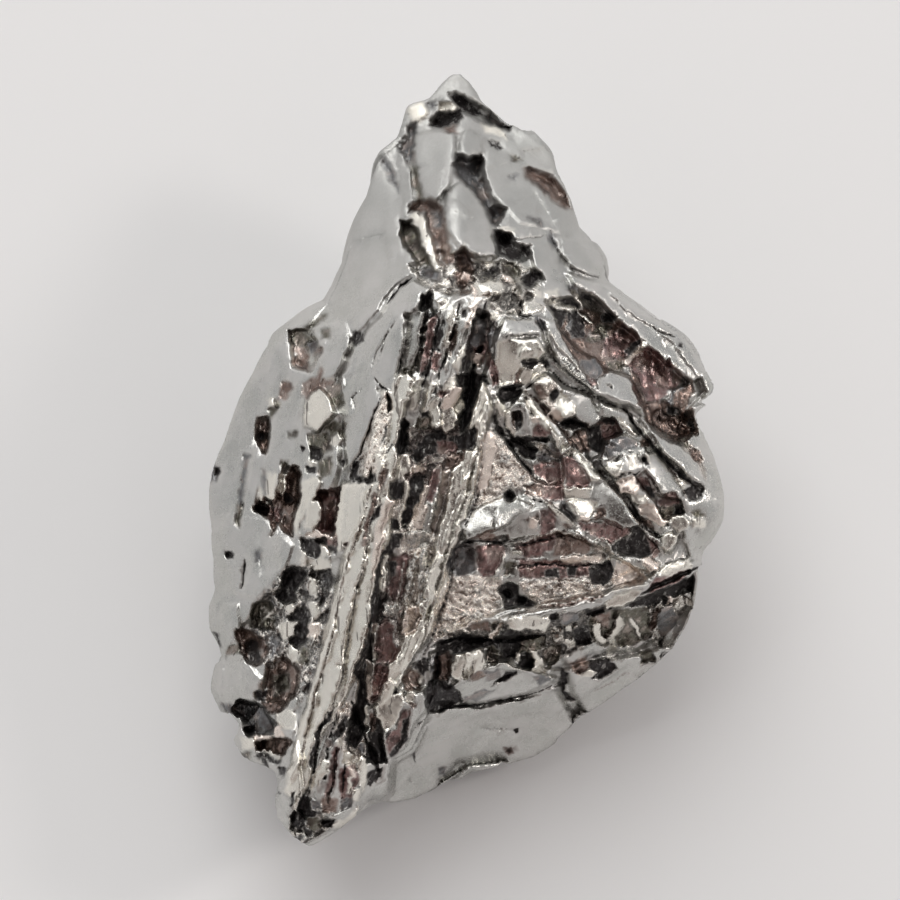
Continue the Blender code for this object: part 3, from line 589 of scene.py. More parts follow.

# %% [markdown]
# ## Cracks, seams and pits
# Fine dark lines part the sheets. They are narrow grooves, and later they also get the dark oxide tone, which
# is partly oxide and partly painted shade. Some are single pits where a grain fell out, painted dark the same
# way.

# %% Fine cracks and pits
SEAMS = {
    "outer seam": ("372 486, 362 520, 350 556, 341 590, 336 625, 326 660, 314 700, 307 735, "
                   "303 765", 1.7, 0.14, "brown"),
    "middle seam": ("382 470, 372 520, 364 560, 356 600, 349 640, 341 680, 332 706", 1.6, 0.15),
    "channel mouth": ("352 700, 362 730, 372 752, 378 770", 7, 0.45),
    "blade groove": ("479 440, 475 460, 469 485, 461 508, 450 540, 441 575, 430 612, 422 640, "
                     "414 662", 3.0, 0.16, "olive"),
    "blade left foot": ("474 420, 458 466, 444 500, 433 545, 421 594, 404 640, "
                        "392 668", 1.1, 0.05, "brown"),
    "blade right foot": ("494 424, 486 462, 474 504, 456 546, 449 584, 438 622, 420 664", 1.8, 0.16),
    "lip seam": ("415 311, 409 326, 405 344, 401 362, 398 374", 3.0, 0.40),
    "sliver seam one": ("428 312, 421 342, 414 370", 2.4, 0.30),
    "sliver seam two": ("441 310, 436 340, 428 372, 420 392", 2.8, 0.35),
    "sliver seam three": ("460 304, 453 334, 443 362, 436 386", 2.4, 0.30),
    "rod seam": ("486 302, 481 324, 480 348, 474 368, 468 400, 462 424", 4.5, 0.50),
    "plate crack": ("413 279, 402 286, 394 296, 388 304", 2.6, 0.28),
    "notch": ("385 392, 391 402, 389 413", 4, 0.40),
    "tongue crack": ("374 378, 380 386, 388 391", 2.0, 0.22),
    "hair one": ("362 388, 352 398, 356 410", 1.4, 0.12),
    "hair two": ("398 318, 386 340, 380 362", 1.2, 0.08),
    "hair three": ("392 330, 378 352, 372 372", 1.2, 0.08),
    "rose left": ("380 398, 370 426, 362 452, 354 466", 1.8, 0.22),
    "knob line": ("500 342, 508 337, 537 336", 1.6, 0.14),
    "knob shadow": ("500 390, 512 390, 522 386, 530 376, 540 366, 547 360", 2.4, 0.25),
    "fan seam one": ("538 324, 548 345, 562 361, 580 378, 598 390", 1.5, 0.18),
    "fan seam two": ("546 350, 562 366, 578 382, 594 393", 1.5, 0.16),
    "fine crack": ("546 366, 560 382, 569 389, 580 390, 590 394", 1.8, 0.25),
    "long crack": ("588 393, 600 401, 612 404, 622 408, 630 415, 636 427, 648 440, 660 453, 670 466, "
                   "683 478, 692 484, 704 488", 2.6, 0.30),
    "corner crack": ("521 300, 521 316, 531 317", 2.2, 0.25),
    "knob foot": ("546 366, 538 378, 530 386, 522 391", 2.4, 0.30),
    "block side": ("524 391, 540 402, 549 416, 560 428, 568 440, 571 450", 2.2, 0.25, "brown"),
    "block crack three": ("616 478, 624 473, 634 475, 643 469", 1.8, 0.20),
    "plate edge": ("668 466, 680 485, 688 500", 2.0, 0.16, "brown"),
    "under brown": ("530 498, 545 503, 554 500", 1.6, 0.18),
    "recess line": ("484 546, 500 541, 510 541", 1.6, 0.16),
    "stripe one": ("508 560, 530 558, 548 556", 1.2, 0.10, "brown"),
    "stripe two": ("510 569, 540 565, 566 562, 590 566", 1.4, 0.14),
    "stripe three": ("520 577, 550 579, 580 580", 1.4, 0.12, "brown"),
    "leaf spot": ("606 384, 614 388", 2.2, 0.15),
    "block crack one": ("606 452, 622 450, 642 456", 1.3, 0.14),
    "block crack two": ("626 440, 618 456, 606 466", 1.3, 0.14),
    "slanting crack": ("600 464, 608 471, 613 480, 630 500, 640 518, 647 529, 662 536", 2.4, 0.25),
    "slanting line": ("589 472, 600 473, 610 478", 1.6, 0.15),
    "block foot": ("504 424, 512 438, 528 448, 545 456", 3.0, 0.30),
    "rose foot two": ("560 424, 575 420, 590 430", 3.5, 0.35),
    "triangle right": ("498 430, 512 446, 524 464, 538 480", 2.4, 0.25),
    "middle seam two": ("460 542, 478 540, 500 542, 506 546", 2.4, 0.28),
    "edge under ridge": ("508 548, 532 542, 560 536, 574 540", 1.8, 0.20),
    "strip dark": ("508 566, 540 564, 575 566, 612 564", 2.2, 0.20),
    "gap under ledge": ("640 594, 664 584, 688 572, 700 566", 5, 0.50),
    "gap tail": ("584 616, 610 608, 640 596", 4, 0.40),
    "undercut": ("432 646, 452 638, 480 640, 510 640, 545 634", 5, 0.45),
    "undercut left": ("434 690, 436 672, 438 652", 5, 0.40),
    "lip crack": ("415 728, 428 716, 446 708, 500 702, 530 695, 561 684", 1.9, 0.25),
    "ledge nick": ("494 681, 504 676, 514 672", 2.2, 0.22),
    "belly hair": ("478 729, 500 730, 514 732", 1.4, 0.08),
    "shoulder seam": ("551 230, 558 252, 572 268, 600 278", 1.8, 0.12),
    "shoulder seam two": ("500 236, 524 240, 548 234", 1.8, 0.10),
    "rim line": ("650 325, 662 332, 676 337", 2.4, 0.16),
    "flank line": ("244 560, 243 576, 240 592", 2.2, 0.20),
    "nose seam one": ("326 712, 318 745, 314 780, 304 806", 2.0, 0.24),
    "nose seam two": ("337 712, 328 745, 324 785", 1.6, 0.22),
    "nose seam three": ("345 716, 337 750, 332 790, 328 806", 1.6, 0.22),
    "nose seam four": ("352 730, 346 765, 340 800", 1.6, 0.20),
    "nose black": ("296 806, 304 816, 316 822, 330 822", 5, 0.35),
    "lobe seam": ("300 790, 296 806, 292 822", 2.4, 0.25),
    "leaf gap": ("384 762, 381 740, 384 724", 3.0, 0.30),
}
PITS = [
    (518, 416, 6, 0.26), (509, 497, 7, 0.50), (645, 460, 3.4, 0.25), (228, 557, 4.5, 0.22),
    (516, 732, 3.2, 0.14), (508, 752, 4.0, 0.10), (415, 753, 3.0, 0.14), (442, 770, 5.0, 0.10),
    (410, 782, 3.0, 0.08), (325, 577, 7, 0.14), (302, 447, 3, 0.12), (213, 641, 5, 0.25),
    (280, 768, 3.5, 0.18), (280, 792, 3.5, 0.15), (216, 472, 6, 0.20), (465, 213, 3, 0.10),
    (506, 594, 7, 0.35), (522, 600, 6, 0.30), (664, 655, 6, 0.18), (252, 646, 10, 0.35),
    (288, 500, 7, 0.30), (262, 508, 6, 0.25), (262, 436, 6, 0.25), (358, 586, 3, 0.15),
    (340, 664, 2.5, 0.12), (395, 694, 3.5, 0.18), (388, 714, 2.5, 0.14), (505, 240, 8, 0.35),
]

# %% [markdown]
# ## Dark dents
# Between the plates the metal is sunk, and its tones are black, brown, purple, olive, grey and rose: the
# black, brown, purple and olive are partly tarnish and partly painted shade, the grey is painted shade and
# the rose a painted reflection. A dent could be carved with a sculpting brush, but a list of them can be read
# and changed.
# Each dent has its tone, a depth in millimetres and an outline, and the lists go region by region. Later
# entries are laid over earlier ones.

# %% An empty list of dents for each region
DENTS = {}

# %% Dents on the crest
DENTS["crest"] = [
    ("oxide_and_shade", 0.20, "421 297, 431 295, 432 305, 427 313, 419 311"),
    ("olive", 0.05, "402 362, 410 352, 416 360, 414 374, 404 376, 399 372"),
    ("grey", 0.06, "410 338, 422 334, 424 352, 412 354"),
    ("purple", 0.05, "418 326, 424 324, 425 334, 418 334"),
    ("oxide_and_shade", 0.20, "431 338, 439 335, 440 352, 432 353"),
    ("purple", 0.12, "431 354, 441 353, 438 372, 430 370"),
    ("oxide_and_shade", 0.15, "421 361, 427 360, 426 374, 419 377"),
    ("grey", 0.10, "428 312, 438 316, 434 336, 426 334"),
    ("oxide_and_shade", 0.12, "443 316, 447 319, 443 336, 440 348, 437 340"),
    ("brown", 0.15, "453 326, 458 332, 456 345, 450 358, 446 352, 449 338"),
    ("oxide_and_shade", 0.12, "460 312, 465 311, 465 318, 460 318"),
    ("purple", 0.15, "470 334, 487 320, 488 350, 484 365, 474 354, 469 345"),
    ("oxide_and_shade", 0.25, "475 316, 487 313, 487 326, 474 328"),
    ("oxide_and_shade", 0.20, "468 341, 473 350, 470 370, 461 372, 464 356"),
    ("oxide_and_shade", 0.35, "458 374, 470 372, 486 376, 489 384, 480 381, 476 394, 472 410, 470 424, 462 434, "
                    "460 412, 466 397, 452 389"),
    ("purple", 0.12, "490 352, 496 365, 499 382, 493 387, 487 368"),
    ("oxide_and_shade", 0.35, "498 395, 503 388, 514 388, 521 391, 518 399, 504 401, 497 400"),
    ("brown", 0.10, "513 378, 518 368, 523 372, 520 385, 513 387"),
    ("oxide_and_shade", 0.10, "420 411, 433 410, 432 418, 419 419"),
    ("olive", 0.08, "418 419, 431 418, 430 430, 417 430"),
    ("purple", 0.10, "440 392, 452 388, 452 396, 440 400"),
    ("oxide_and_shade", 0.10, "432 388, 437 386, 436 396, 431 396"),
]
print(len(DENTS["crest"]), "dents on the crest")

# %% Dents in the channel
DENTS["channel"] = [
    ("oxide_and_shade", 0.30, "401 418, 408 424, 410 440, 405 456, 400 452, 399 432"),
    ("oxide_and_shade", 0.15, "430 432, 441 428, 448 438, 462 434, 476 427, 476 440, 471 450, 460 448, 450 452, "
                    "444 450, 432 453, 414 463, 409 456, 420 444"),
    ("purple", 0.05, "436 440, 452 440, 458 448, 450 456, 438 450"),
    ("brown", 0.08, "446 454, 460 452, 464 460, 456 468, 446 468"),
    ("purple", 0.04, "431 470, 440 468, 438 486, 431 502, 426 498"),
    ("oxide_and_shade", 0.12, "412 476, 426 474, 422 500, 411 511, 405 528, 401 528, 406 505"),
    ("brown", 0.06, "437 508, 441 500, 439 520, 434 534, 430 534"),
    ("oxide_and_shade", 0.16, "392 532, 402 534, 400 546, 390 553, 385 560, 381 590, 382 605, 379 621, 369 624, "
                    "371 608, 374 590, 377 570, 379 552, 387 542"),
    ("purple", 0.02, "390 556, 404 551, 411 556, 404 580, 401 601, 392 603, 389 585"),
    ("oxide_and_shade", 0.02, "390 560, 398 559, 396 574, 390 578"),
    ("oxide_and_shade", 0.30, "370 621, 374 634, 373 658, 366 664, 366 690, 370 702, 368 730, 361 737, 352 746, "
                    "346 740, 350 715, 357 700, 360 680, 354 672, 360 655, 364 640"),
    ("purple", 0.04, "379 624, 388 618, 395 626, 393 640, 397 650, 392 661, 376 661, 376 636"),
    ("brown", 0.02, "400 608, 403 606, 401 630, 397 636, 398 622"),
    ("purple", 0.08, "375 664, 388 664, 386 680, 378 692, 372 705, 371 690, 374 676"),
    ("oxide_and_shade", 0.12, "395 686, 400 690, 396 702, 391 700"),
    ("olive", 0.06, "385 713, 390 712, 389 719, 385 720"),
    ("oxide_and_shade", 0.25, "372 716, 380 720, 383 745, 388 763, 374 765, 365 750, 369 740"),
    ("brown", 0.05, "370 712, 377 714, 377 728, 371 734"),
    ("brown", 0.20, "402 678, 410 671, 420 670, 424 678, 420 686, 406 689"),
    ("oxide_and_shade", 0.15, "418 662, 428 656, 430 670, 424 674, 416 669"),
    ("oxide_and_shade", 0.30, "426 690, 430 680, 436 677, 446 684, 460 690, 464 700, 440 712, 428 717, 424 702"),
    ("brown", 0.25, "436 656, 446 650, 450 664, 446 683, 438 679, 434 668"),
    ("brown", 0.02, "411 700, 417 700, 416 706, 411 706"),
    ("purple", 0.10, "388 735, 396 727, 403 712, 409 708, 410 720, 407 738, 400 748, 392 758, 388 750, "
                     "385 742"),
    ("oxide_and_shade", 0.02, "404 722, 410 716, 407 738, 400 748, 392 758, 389 752, 400 740"),
]
print(len(DENTS["channel"]), "dents in the channel")

# %% Dents in the shoulder's hollow
DENTS["shoulder hollow"] = [
    ("brown", 0.05, "556 322, 583 306, 600 314, 622 322, 640 336, 630 358, 616 368, 600 376, 590 384, "
                    "578 364, 566 346"),
    ("oxide_and_shade", 0.15, "548 305, 560 303, 567 309, 566 320, 560 328, 554 318"),
    ("oxide_and_shade", 0.10, "568 314, 578 310, 583 322, 584 336, 572 338, 566 330"),
    ("oxide_and_shade", 0.12, "600 315, 610 313, 618 316, 614 322, 602 321"),
    ("olive", 0.04, "600 322, 612 324, 606 338, 592 344, 584 340, 592 330"),
    ("purple", 0.03, "604 340, 622 328, 640 339, 632 352, 618 360, 602 356"),
    ("oxide_and_shade", 0.08, "626 350, 640 338, 643 342, 628 358"),
    ("olive", 0.03, "606 362, 624 362, 622 372, 608 370"),
    ("purple", 0.06, "588 380, 594 377, 598 386, 592 388"),
    ("purple", 0.02, "638 352, 648 346, 662 356, 672 372, 684 380, 668 394, 658 404, 646 402, 634 380, "
                     "629 366"),
    ("brown", 0.08, "630 368, 640 378, 646 400, 642 410, 634 392"),
    ("purple", 0.10, "667 360, 671 359, 671 370, 667 371"),
    ("brown", 0.05, "674 372, 681 374, 683 382, 674 382"),
    ("brown", 0.04, "674 392, 686 386, 694 384, 696 391, 690 401, 686 414, 674 412"),
    ("brown", 0.10, "642 404, 666 402, 680 410, 696 420, 698 434, 684 442, 664 432, 648 422"),
    ("oxide_and_shade", 0.10, "668 404, 682 408, 680 416, 668 414"),
    ("oxide_and_shade", 0.08, "688 418, 697 420, 697 430, 688 428"),
    ("brown", 0.08, "688 448, 700 450, 704 462, 694 462"),
    ("olive", 0.06, "676 436, 688 438, 690 448, 680 444"),
    ("oxide_and_shade", 0.08, "678 342, 684 343, 684 349, 678 348"),
]
print(len(DENTS["shoulder hollow"]), "dents in the shoulder's hollow")

# %% Dents on the blocks
DENTS["blocks"] = [
    ("oxide_and_shade", 0.12, "520 360, 530 359, 548 361, 550 367, 536 367, 523 366"),
    ("grey", 0.04, "532 315, 542 318, 546 330, 538 328"),
    ("oxide_and_shade", 0.15, "551 392, 558 389, 560 394, 554 403, 549 402"),
    ("brown", 0.10, "532 386, 540 385, 548 398, 540 400"),
    ("brown", 0.15, "512 412, 518 411, 522 418, 520 429, 516 432, 512 424"),
    ("oxide_and_shade", 0.10, "515 420, 521 419, 520 430, 516 432"),
    ("purple", 0.06, "532 428, 540 425, 549 432, 545 438, 532 438"),
    ("oxide_and_shade", 0.20, "493 410, 498 420, 504 430, 502 438, 496 430, 494 420"),
    ("oxide_and_shade", 0.20, "504 438, 520 437, 548 439, 545 444, 530 442, 524 448, 510 448"),
    ("oxide_and_shade", 0.20, "518 447, 528 446, 538 458, 532 460, 522 453"),
    ("grey", 0.05, "549 440, 555 438, 562 446, 560 452, 549 450"),
    ("grey", 0.10, "537 455, 548 453, 556 457, 564 455, 562 461, 539 462"),
    ("purple", 0.05, "533 463, 560 462, 562 480, 556 486, 545 481, 534 471"),
    ("purple", 0.05, "561 458, 572 456, 580 466, 590 482, 586 488, 566 486"),
    ("oxide_and_shade", 0.06, "586 461, 590 462, 590 470, 587 469"),
    ("oxide_and_shade", 0.20, "560 421, 570 417, 586 422, 588 428, 574 430, 561 427"),
    ("brown", 0.15, "569 441, 575 430, 590 430, 590 451, 578 450"),
    ("oxide_and_shade", 0.22, "588 428, 600 424, 604 440, 600 452, 592 450, 588 440"),
    ("purple", 0.15, "600 422, 610 419, 618 427, 612 439, 602 438"),
    ("oxide_and_shade", 0.08, "601 420, 612 418, 618 426, 606 425"),
    ("grey", 0.05, "602 442, 610 446, 606 456, 598 460"),
    ("grey", 0.05, "590 461, 600 460, 600 470, 590 470"),
    ("brown", 0.10, "524 486, 535 482, 545 484, 545 496, 536 496, 525 494"),
    ("purple", 0.08, "545 484, 562 482, 562 500, 552 502, 544 498"),
    ("grey", 0.10, "557 502, 564 500, 575 516, 574 522, 566 516"),
    ("purple", 0.04, "540 512, 550 510, 556 520, 554 534, 540 535"),
    ("brown", 0.04, "526 520, 538 513, 540 522, 534 526"),
    ("brown", 0.04, "560 523, 568 522, 570 528, 562 529"),
    ("brown", 0.04, "598 508, 606 506, 606 518, 594 520"),
    ("purple", 0.06, "577 522, 610 524, 636 530, 614 545, 600 540, 588 534"),
    ("oxide_and_shade", 0.20, "684 490, 692 485, 704 488, 702 497, 690 500"),
    ("oxide_and_shade", 0.12, "642 458, 647 457, 650 464, 645 466"),
    ("purple", 0.12, "636 479, 644 477, 650 484, 657 497, 650 497, 640 488"),
    ("oxide_and_shade", 0.06, "644 486, 650 486, 656 497, 650 496"),
    ("purple", 0.15, "656 500, 664 494, 674 492, 680 504, 676 508, 660 506"),
    ("olive", 0.12, "659 506, 678 506, 680 514, 664 518"),
    ("oxide_and_shade", 0.10, "674 506, 684 510, 682 517, 673 514"),
    ("olive", 0.06, "690 510, 700 508, 706 516, 696 520"),
    ("oxide_and_shade", 0.06, "632 481, 638 483, 637 486, 632 485"),
    ("oxide_and_shade", 0.06, "636 496, 643 499, 641 502, 636 500"),
    ("brown", 0.06, "640 517, 652 520, 656 530, 644 526"),
    ("brown", 0.05, "640 440, 648 440, 650 448, 642 448"),
]
print(len(DENTS["blocks"]), "dents on the blocks")

# %% Dents in the recess
DENTS["recess"] = [
    ("grey", 0.05, "455 548, 466 540, 474 541, 474 572, 458 577, 449 570, 449 558"),
    ("purple", 0.03, "476 546, 500 543, 506 550, 500 562, 496 572, 482 578, 476 570"),
    ("brown", 0.06, "477 534, 490 529, 496 536, 488 542, 479 541"),
    ("purple", 0.06, "514 545, 540 538, 554 533, 556 548, 540 556, 524 558, 517 552"),
    ("brown", 0.03, "554 534, 562 530, 580 536, 592 546, 586 554, 566 556, 554 556"),
    ("olive", 0.06, "505 562, 516 562, 514 574, 502 576"),
    ("purple", 0.06, "518 560, 556 560, 590 564, 590 576, 560 578, 520 576"),
    ("oxide_and_shade", 0.08, "544 570, 560 568, 560 577, 546 577"),
    ("oxide_and_shade", 0.08, "566 566, 575 565, 574 575, 566 574"),
    ("oxide_and_shade", 0.20, "588 568, 610 562, 613 574, 606 585, 592 582"),
    ("oxide_and_shade", 0.35, "500 584, 508 581, 518 584, 519 594, 530 600, 538 604, 520 607, 504 607, 503 596, "
                    "497 590"),
    ("brown", 0.05, "538 601, 570 598, 600 592, 604 597, 570 606, 540 608"),
    ("brown", 0.06, "468 624, 488 622, 492 630, 470 631"),
    ("oxide_and_shade", 0.25, "616 545, 634 528, 642 525, 648 534, 655 546, 648 557, 632 556, 618 552"),
    ("purple", 0.05, "648 534, 656 541, 660 552, 652 557"),
    ("oxide_and_shade", 0.06, "611 546, 620 544, 618 551, 611 550"),
    ("purple", 0.08, "652 582, 668 572, 690 568, 684 580, 666 590, 650 593"),
    ("rose", 0.06, "616 564, 628 562, 645 577, 640 584, 616 586, 612 574"),
    ("oxide_and_shade", 0.30, "636 600, 660 590, 690 578, 700 568, 696 590, 668 599, 650 607, 626 606"),
    ("olive", 0.10, "590 612, 612 610, 650 606, 652 640, 630 648, 600 648, 588 634"),
    ("brown", 0.10, "596 612, 612 612, 610 630, 602 626"),
    ("oxide_and_shade", 0.20, "574 630, 590 626, 592 644, 576 646"),
    ("oxide_and_shade", 0.12, "582 612, 606 604, 606 610, 590 616"),
    ("brown", 0.12, "652 612, 662 608, 656 628, 650 632"),
    ("brown", 0.12, "664 622, 671 620, 674 632, 666 635"),
    ("oxide_and_shade", 0.12, "663 600, 672 599, 672 606, 664 606"),
    ("oxide_and_shade", 0.15, "436 646, 446 640, 456 634, 470 634, 500 642, 500 650, 486 646, 470 650, 455 656, "
                    "448 651, 436 656"),
    ("oxide_and_shade", 0.12, "500 630, 520 629, 516 640, 500 641"),
    ("olive", 0.12, "502 642, 520 636, 545 634, 546 646, 530 656, 500 656"),
    ("oxide_and_shade", 0.08, "550 612, 557 611, 556 622, 550 622"),
]
print(len(DENTS["recess"]), "dents in the recess")

# %% Dents on the belly
DENTS["belly"] = [
    ("brown", 0.12, "471 674, 482 669, 487 672, 480 681, 471 681"),
    ("grey", 0.06, "484 670, 498 668, 500 676, 486 682"),
    ("oxide_and_shade", 0.15, "491 685, 498 678, 506 671, 517 670, 514 675, 503 680"),
    ("grey", 0.05, "534 676, 550 673, 552 681, 538 686"),
    ("olive", 0.15, "484 650, 492 646, 500 650, 498 662, 488 662"),
    ("oxide_and_shade", 0.20, "500 640, 520 642, 520 656, 504 660"),
    ("oxide_and_shade", 0.25, "520 655, 530 652, 534 662, 530 671, 521 670"),
    ("olive", 0.20, "543 650, 552 644, 562 646, 560 660, 550 668, 543 661"),
    ("oxide_and_shade", 0.22, "562 668, 568 672, 568 684, 566 692, 570 698, 576 702, 568 702, 564 694, 562 680"),
    ("oxide_and_shade", 0.12, "513 730, 520 730, 519 734, 515 736"),
    ("brown", 0.04, "503 748, 511 748, 512 755, 504 755"),
    ("oxide_and_shade", 0.10, "413 751, 417 752, 416 763, 412 761"),
    ("grey", 0.04, "437 768, 447 768, 446 776, 438 776"),
    ("brown", 0.18, "570 664, 582 660, 591 663, 590 672, 580 675, 571 671"),
    ("oxide_and_shade", 0.20, "590 662, 600 659, 610 661, 617 669, 610 674, 600 679, 591 681"),
    ("olive", 0.15, "640 652, 650 650, 657 657, 656 662, 642 666, 640 660"),
]
print(len(DENTS["belly"]), "dents on the belly")

# %% Dents on the nose
DENTS["nose"] = [
    ("oxide_and_shade", 0.20, "337 705, 331 718, 322 729, 319 742, 315 757, 313 769, 309 766, 311 754, 315 738, "
                    "319 726, 328 714"),
    ("oxide_and_shade", 0.15, "346 712, 350 722, 340 736, 332 746, 328 742, 336 728"),
    ("purple", 0.10, "334 745, 340 748, 337 766, 334 784, 329 800, 325 792, 329 768"),
    ("oxide_and_shade", 0.12, "325 762, 329 764, 325 780, 320 780"),
    ("purple", 0.08, "340 766, 356 764, 358 780, 352 796, 342 800, 338 784"),
    ("grey", 0.10, "346 794, 352 796, 351 808, 340 811, 340 800"),
    ("brown", 0.06, "322 796, 338 796, 336 812, 322 812"),
    ("oxide_and_shade", 0.20, "303 794, 310 798, 309 808, 318 812, 314 818, 304 820, 303 833, 293 828, 290 812, "
                    "297 802"),
    ("oxide_and_shade", 0.20, "324 819, 336 819, 331 828, 322 829"),
    ("oxide_and_shade", 0.15, "304 826, 313 828, 311 838, 305 836"),
    ("oxide_and_shade", 0.15, "295 836, 302 834, 303 843, 297 843"),
    ("oxide_and_shade", 0.18, "367 772, 384 768, 380 778, 370 788, 366 784"),
    ("oxide_and_shade", 0.10, "352 812, 356 810, 356 819, 352 819"),
    ("oxide_and_shade", 0.15, "351 716, 360 712, 364 736, 356 746, 348 742"),
    ("oxide_and_shade", 0.10, "292 792, 297 790, 294 804, 290 806"),
]
print(len(DENTS["nose"]), "dents on the nose")

# %% Dents on the left flank
DENTS["flank"] = [
    ("olive", 0.15, "288 332, 300 330, 315 338, 312 343, 306 349, 300 345, 293 343"),
    ("brown", 0.12, "294 343, 306 345, 309 358, 308 371, 300 367, 291 362, 296 354"),
    ("olive", 0.06, "303 328, 312 320, 326 312, 327 317, 316 324, 306 331"),
    ("brown", 0.08, "315 346, 322 346, 322 353, 315 353"),
    ("olive", 0.06, "321 329, 331 328, 330 338, 322 338"),
    ("brown", 0.12, "303 383, 314 378, 322 368, 324 372, 320 381, 334 380, 334 388, 318 389, 306 399, "
                    "301 393"),
    ("olive", 0.12, "325 388, 341 382, 343 404, 336 410, 330 400"),
    ("olive", 0.10, "318 430, 332 420, 345 424, 346 440, 330 448, 320 442"),
    ("brown", 0.12, "280 382, 292 382, 292 391, 284 398, 277 400, 279 390"),
    ("olive", 0.10, "275 399, 280 402, 276 412, 270 418, 267 410"),
    ("brown", 0.20, "260 420, 268 420, 268 440, 264 452, 258 446"),
    ("grey", 0.08, "244 452, 249 456, 245 480, 242 504, 238 526, 235 518, 239 488"),
    ("olive", 0.08, "236 506, 241 506, 240 526, 235 524"),
    ("grey", 0.10, "207 470, 212 463, 218 466, 215 482, 208 484"),
    ("olive", 0.15, "308 434, 330 430, 333 450, 318 460, 309 452"),
    ("oxide_and_shade", 0.20, "309 447, 320 448, 322 460, 312 460"),
    ("oxide_and_shade", 0.15, "305 466, 318 466, 317 474, 307 474"),
    ("olive", 0.10, "318 460, 332 456, 332 476, 318 480"),
    ("brown", 0.30, "293 464, 299 468, 298 480, 299 500, 294 514, 291 537, 284 532, 280 522, 284 516, "
                    "276 524, 272 534, 268 518, 262 516, 253 507, 262 507, 274 502, 276 491, 282 498, "
                    "286 492, 284 482, 290 472"),
    ("purple", 0.02, "266 506, 280 506, 280 518, 268 519"),
    ("brown", 0.02, "280 513, 287 513, 287 521, 280 521"),
    ("grey", 0.05, "262 470, 265 470, 264 500, 261 498"),
    ("olive", 0.06, "280 460, 288 459, 288 466, 280 467"),
    ("olive", 0.06, "289 431, 298 431, 298 437, 290 437"),
    ("oxide_and_shade", 0.06, "299 445, 304 445, 304 451, 299 451"),
    ("purple", 0.30, "315 498, 320 491, 334 490, 344 496, 344 520, 338 531, 328 532, 315 529, 322 516, "
                     "324 502"),
    ("purple", 0.06, "326 504, 336 502, 336 520, 326 524"),
    ("oxide_and_shade", 0.06, "311 511, 317 512, 317 520, 312 519"),
    ("oxide_and_shade", 0.22, "300 538, 322 539, 340 545, 338 556, 322 548, 320 560, 304 556"),
    ("purple", 0.08, "322 538, 346 532, 348 546, 330 546"),
    ("oxide_and_shade", 0.15, "223 552, 231 551, 232 560, 225 560"),
    ("grey", 0.04, "255 550, 261 550, 261 561, 256 561"),
    ("oxide_and_shade", 0.30, "285 571, 300 566, 307 572, 300 585, 294 600, 284 603, 275 598, 280 588, 284 578"),
    ("oxide_and_shade", 0.20, "317 572, 328 567, 335 576, 330 589, 319 584"),
    ("grey", 0.04, "321 574, 328 572, 330 582, 322 582"),
    ("olive", 0.28, "253 608, 262 602, 273 606, 274 630, 250 629, 252 620"),
    ("oxide_and_shade", 0.25, "296 607, 309 610, 309 640, 298 647, 287 640, 276 642, 276 634, 298 634, 298 622, "
                    "288 617"),
    ("brown", 0.30, "236 632, 250 632, 262 638, 269 648, 266 658, 256 667, 244 660, 240 648, 236 640"),
    ("oxide_and_shade", 0.08, "248 652, 262 650, 260 664, 250 664"),
    ("olive", 0.06, "225 646, 240 645, 240 654, 226 655"),
    ("oxide_and_shade", 0.12, "213 632, 218 634, 220 648, 214 647"),
    ("grey", 0.12, "268 632, 280 640, 280 656, 270 660"),
    ("olive", 0.12, "300 646, 311 645, 308 664, 300 664"),
    ("brown", 0.25, "269 672, 282 658, 292 662, 298 672, 299 687, 290 700, 276 713, 262 709, 262 700, "
                    "268 690, 266 680"),
    ("olive", 0.03, "272 676, 288 672, 290 690, 274 696"),
    ("oxide_and_shade", 0.10, "252 693, 266 691, 266 701, 254 701"),
    ("grey", 0.40, "237 702, 250 704, 262 706, 271 718, 275 732, 262 737, 246 735, 242 718, 231 712"),
    ("grey", 0.08, "217 704, 232 704, 232 716, 222 712"),
    ("brown", 0.35, "256 744, 270 740, 286 738, 293 742, 288 748, 284 755, 270 753, 257 749"),
    ("oxide_and_shade", 0.15, "257 752, 272 755, 284 760, 280 764, 266 760, 256 757"),
    ("olive", 0.08, "239 752, 251 752, 250 761, 240 760"),
    ("oxide_and_shade", 0.12, "262 758, 269 760, 270 774, 264 772"),
    ("oxide_and_shade", 0.15, "279 767, 288 768, 286 777, 279 776"),
    ("oxide_and_shade", 0.12, "353 331, 364 330, 366 340, 358 346, 352 344"),
    ("oxide_and_shade", 0.12, "350 466, 360 474, 370 480, 376 472, 378 482, 366 486, 350 480"),
]
print(len(DENTS["flank"]), "dents on the left flank")

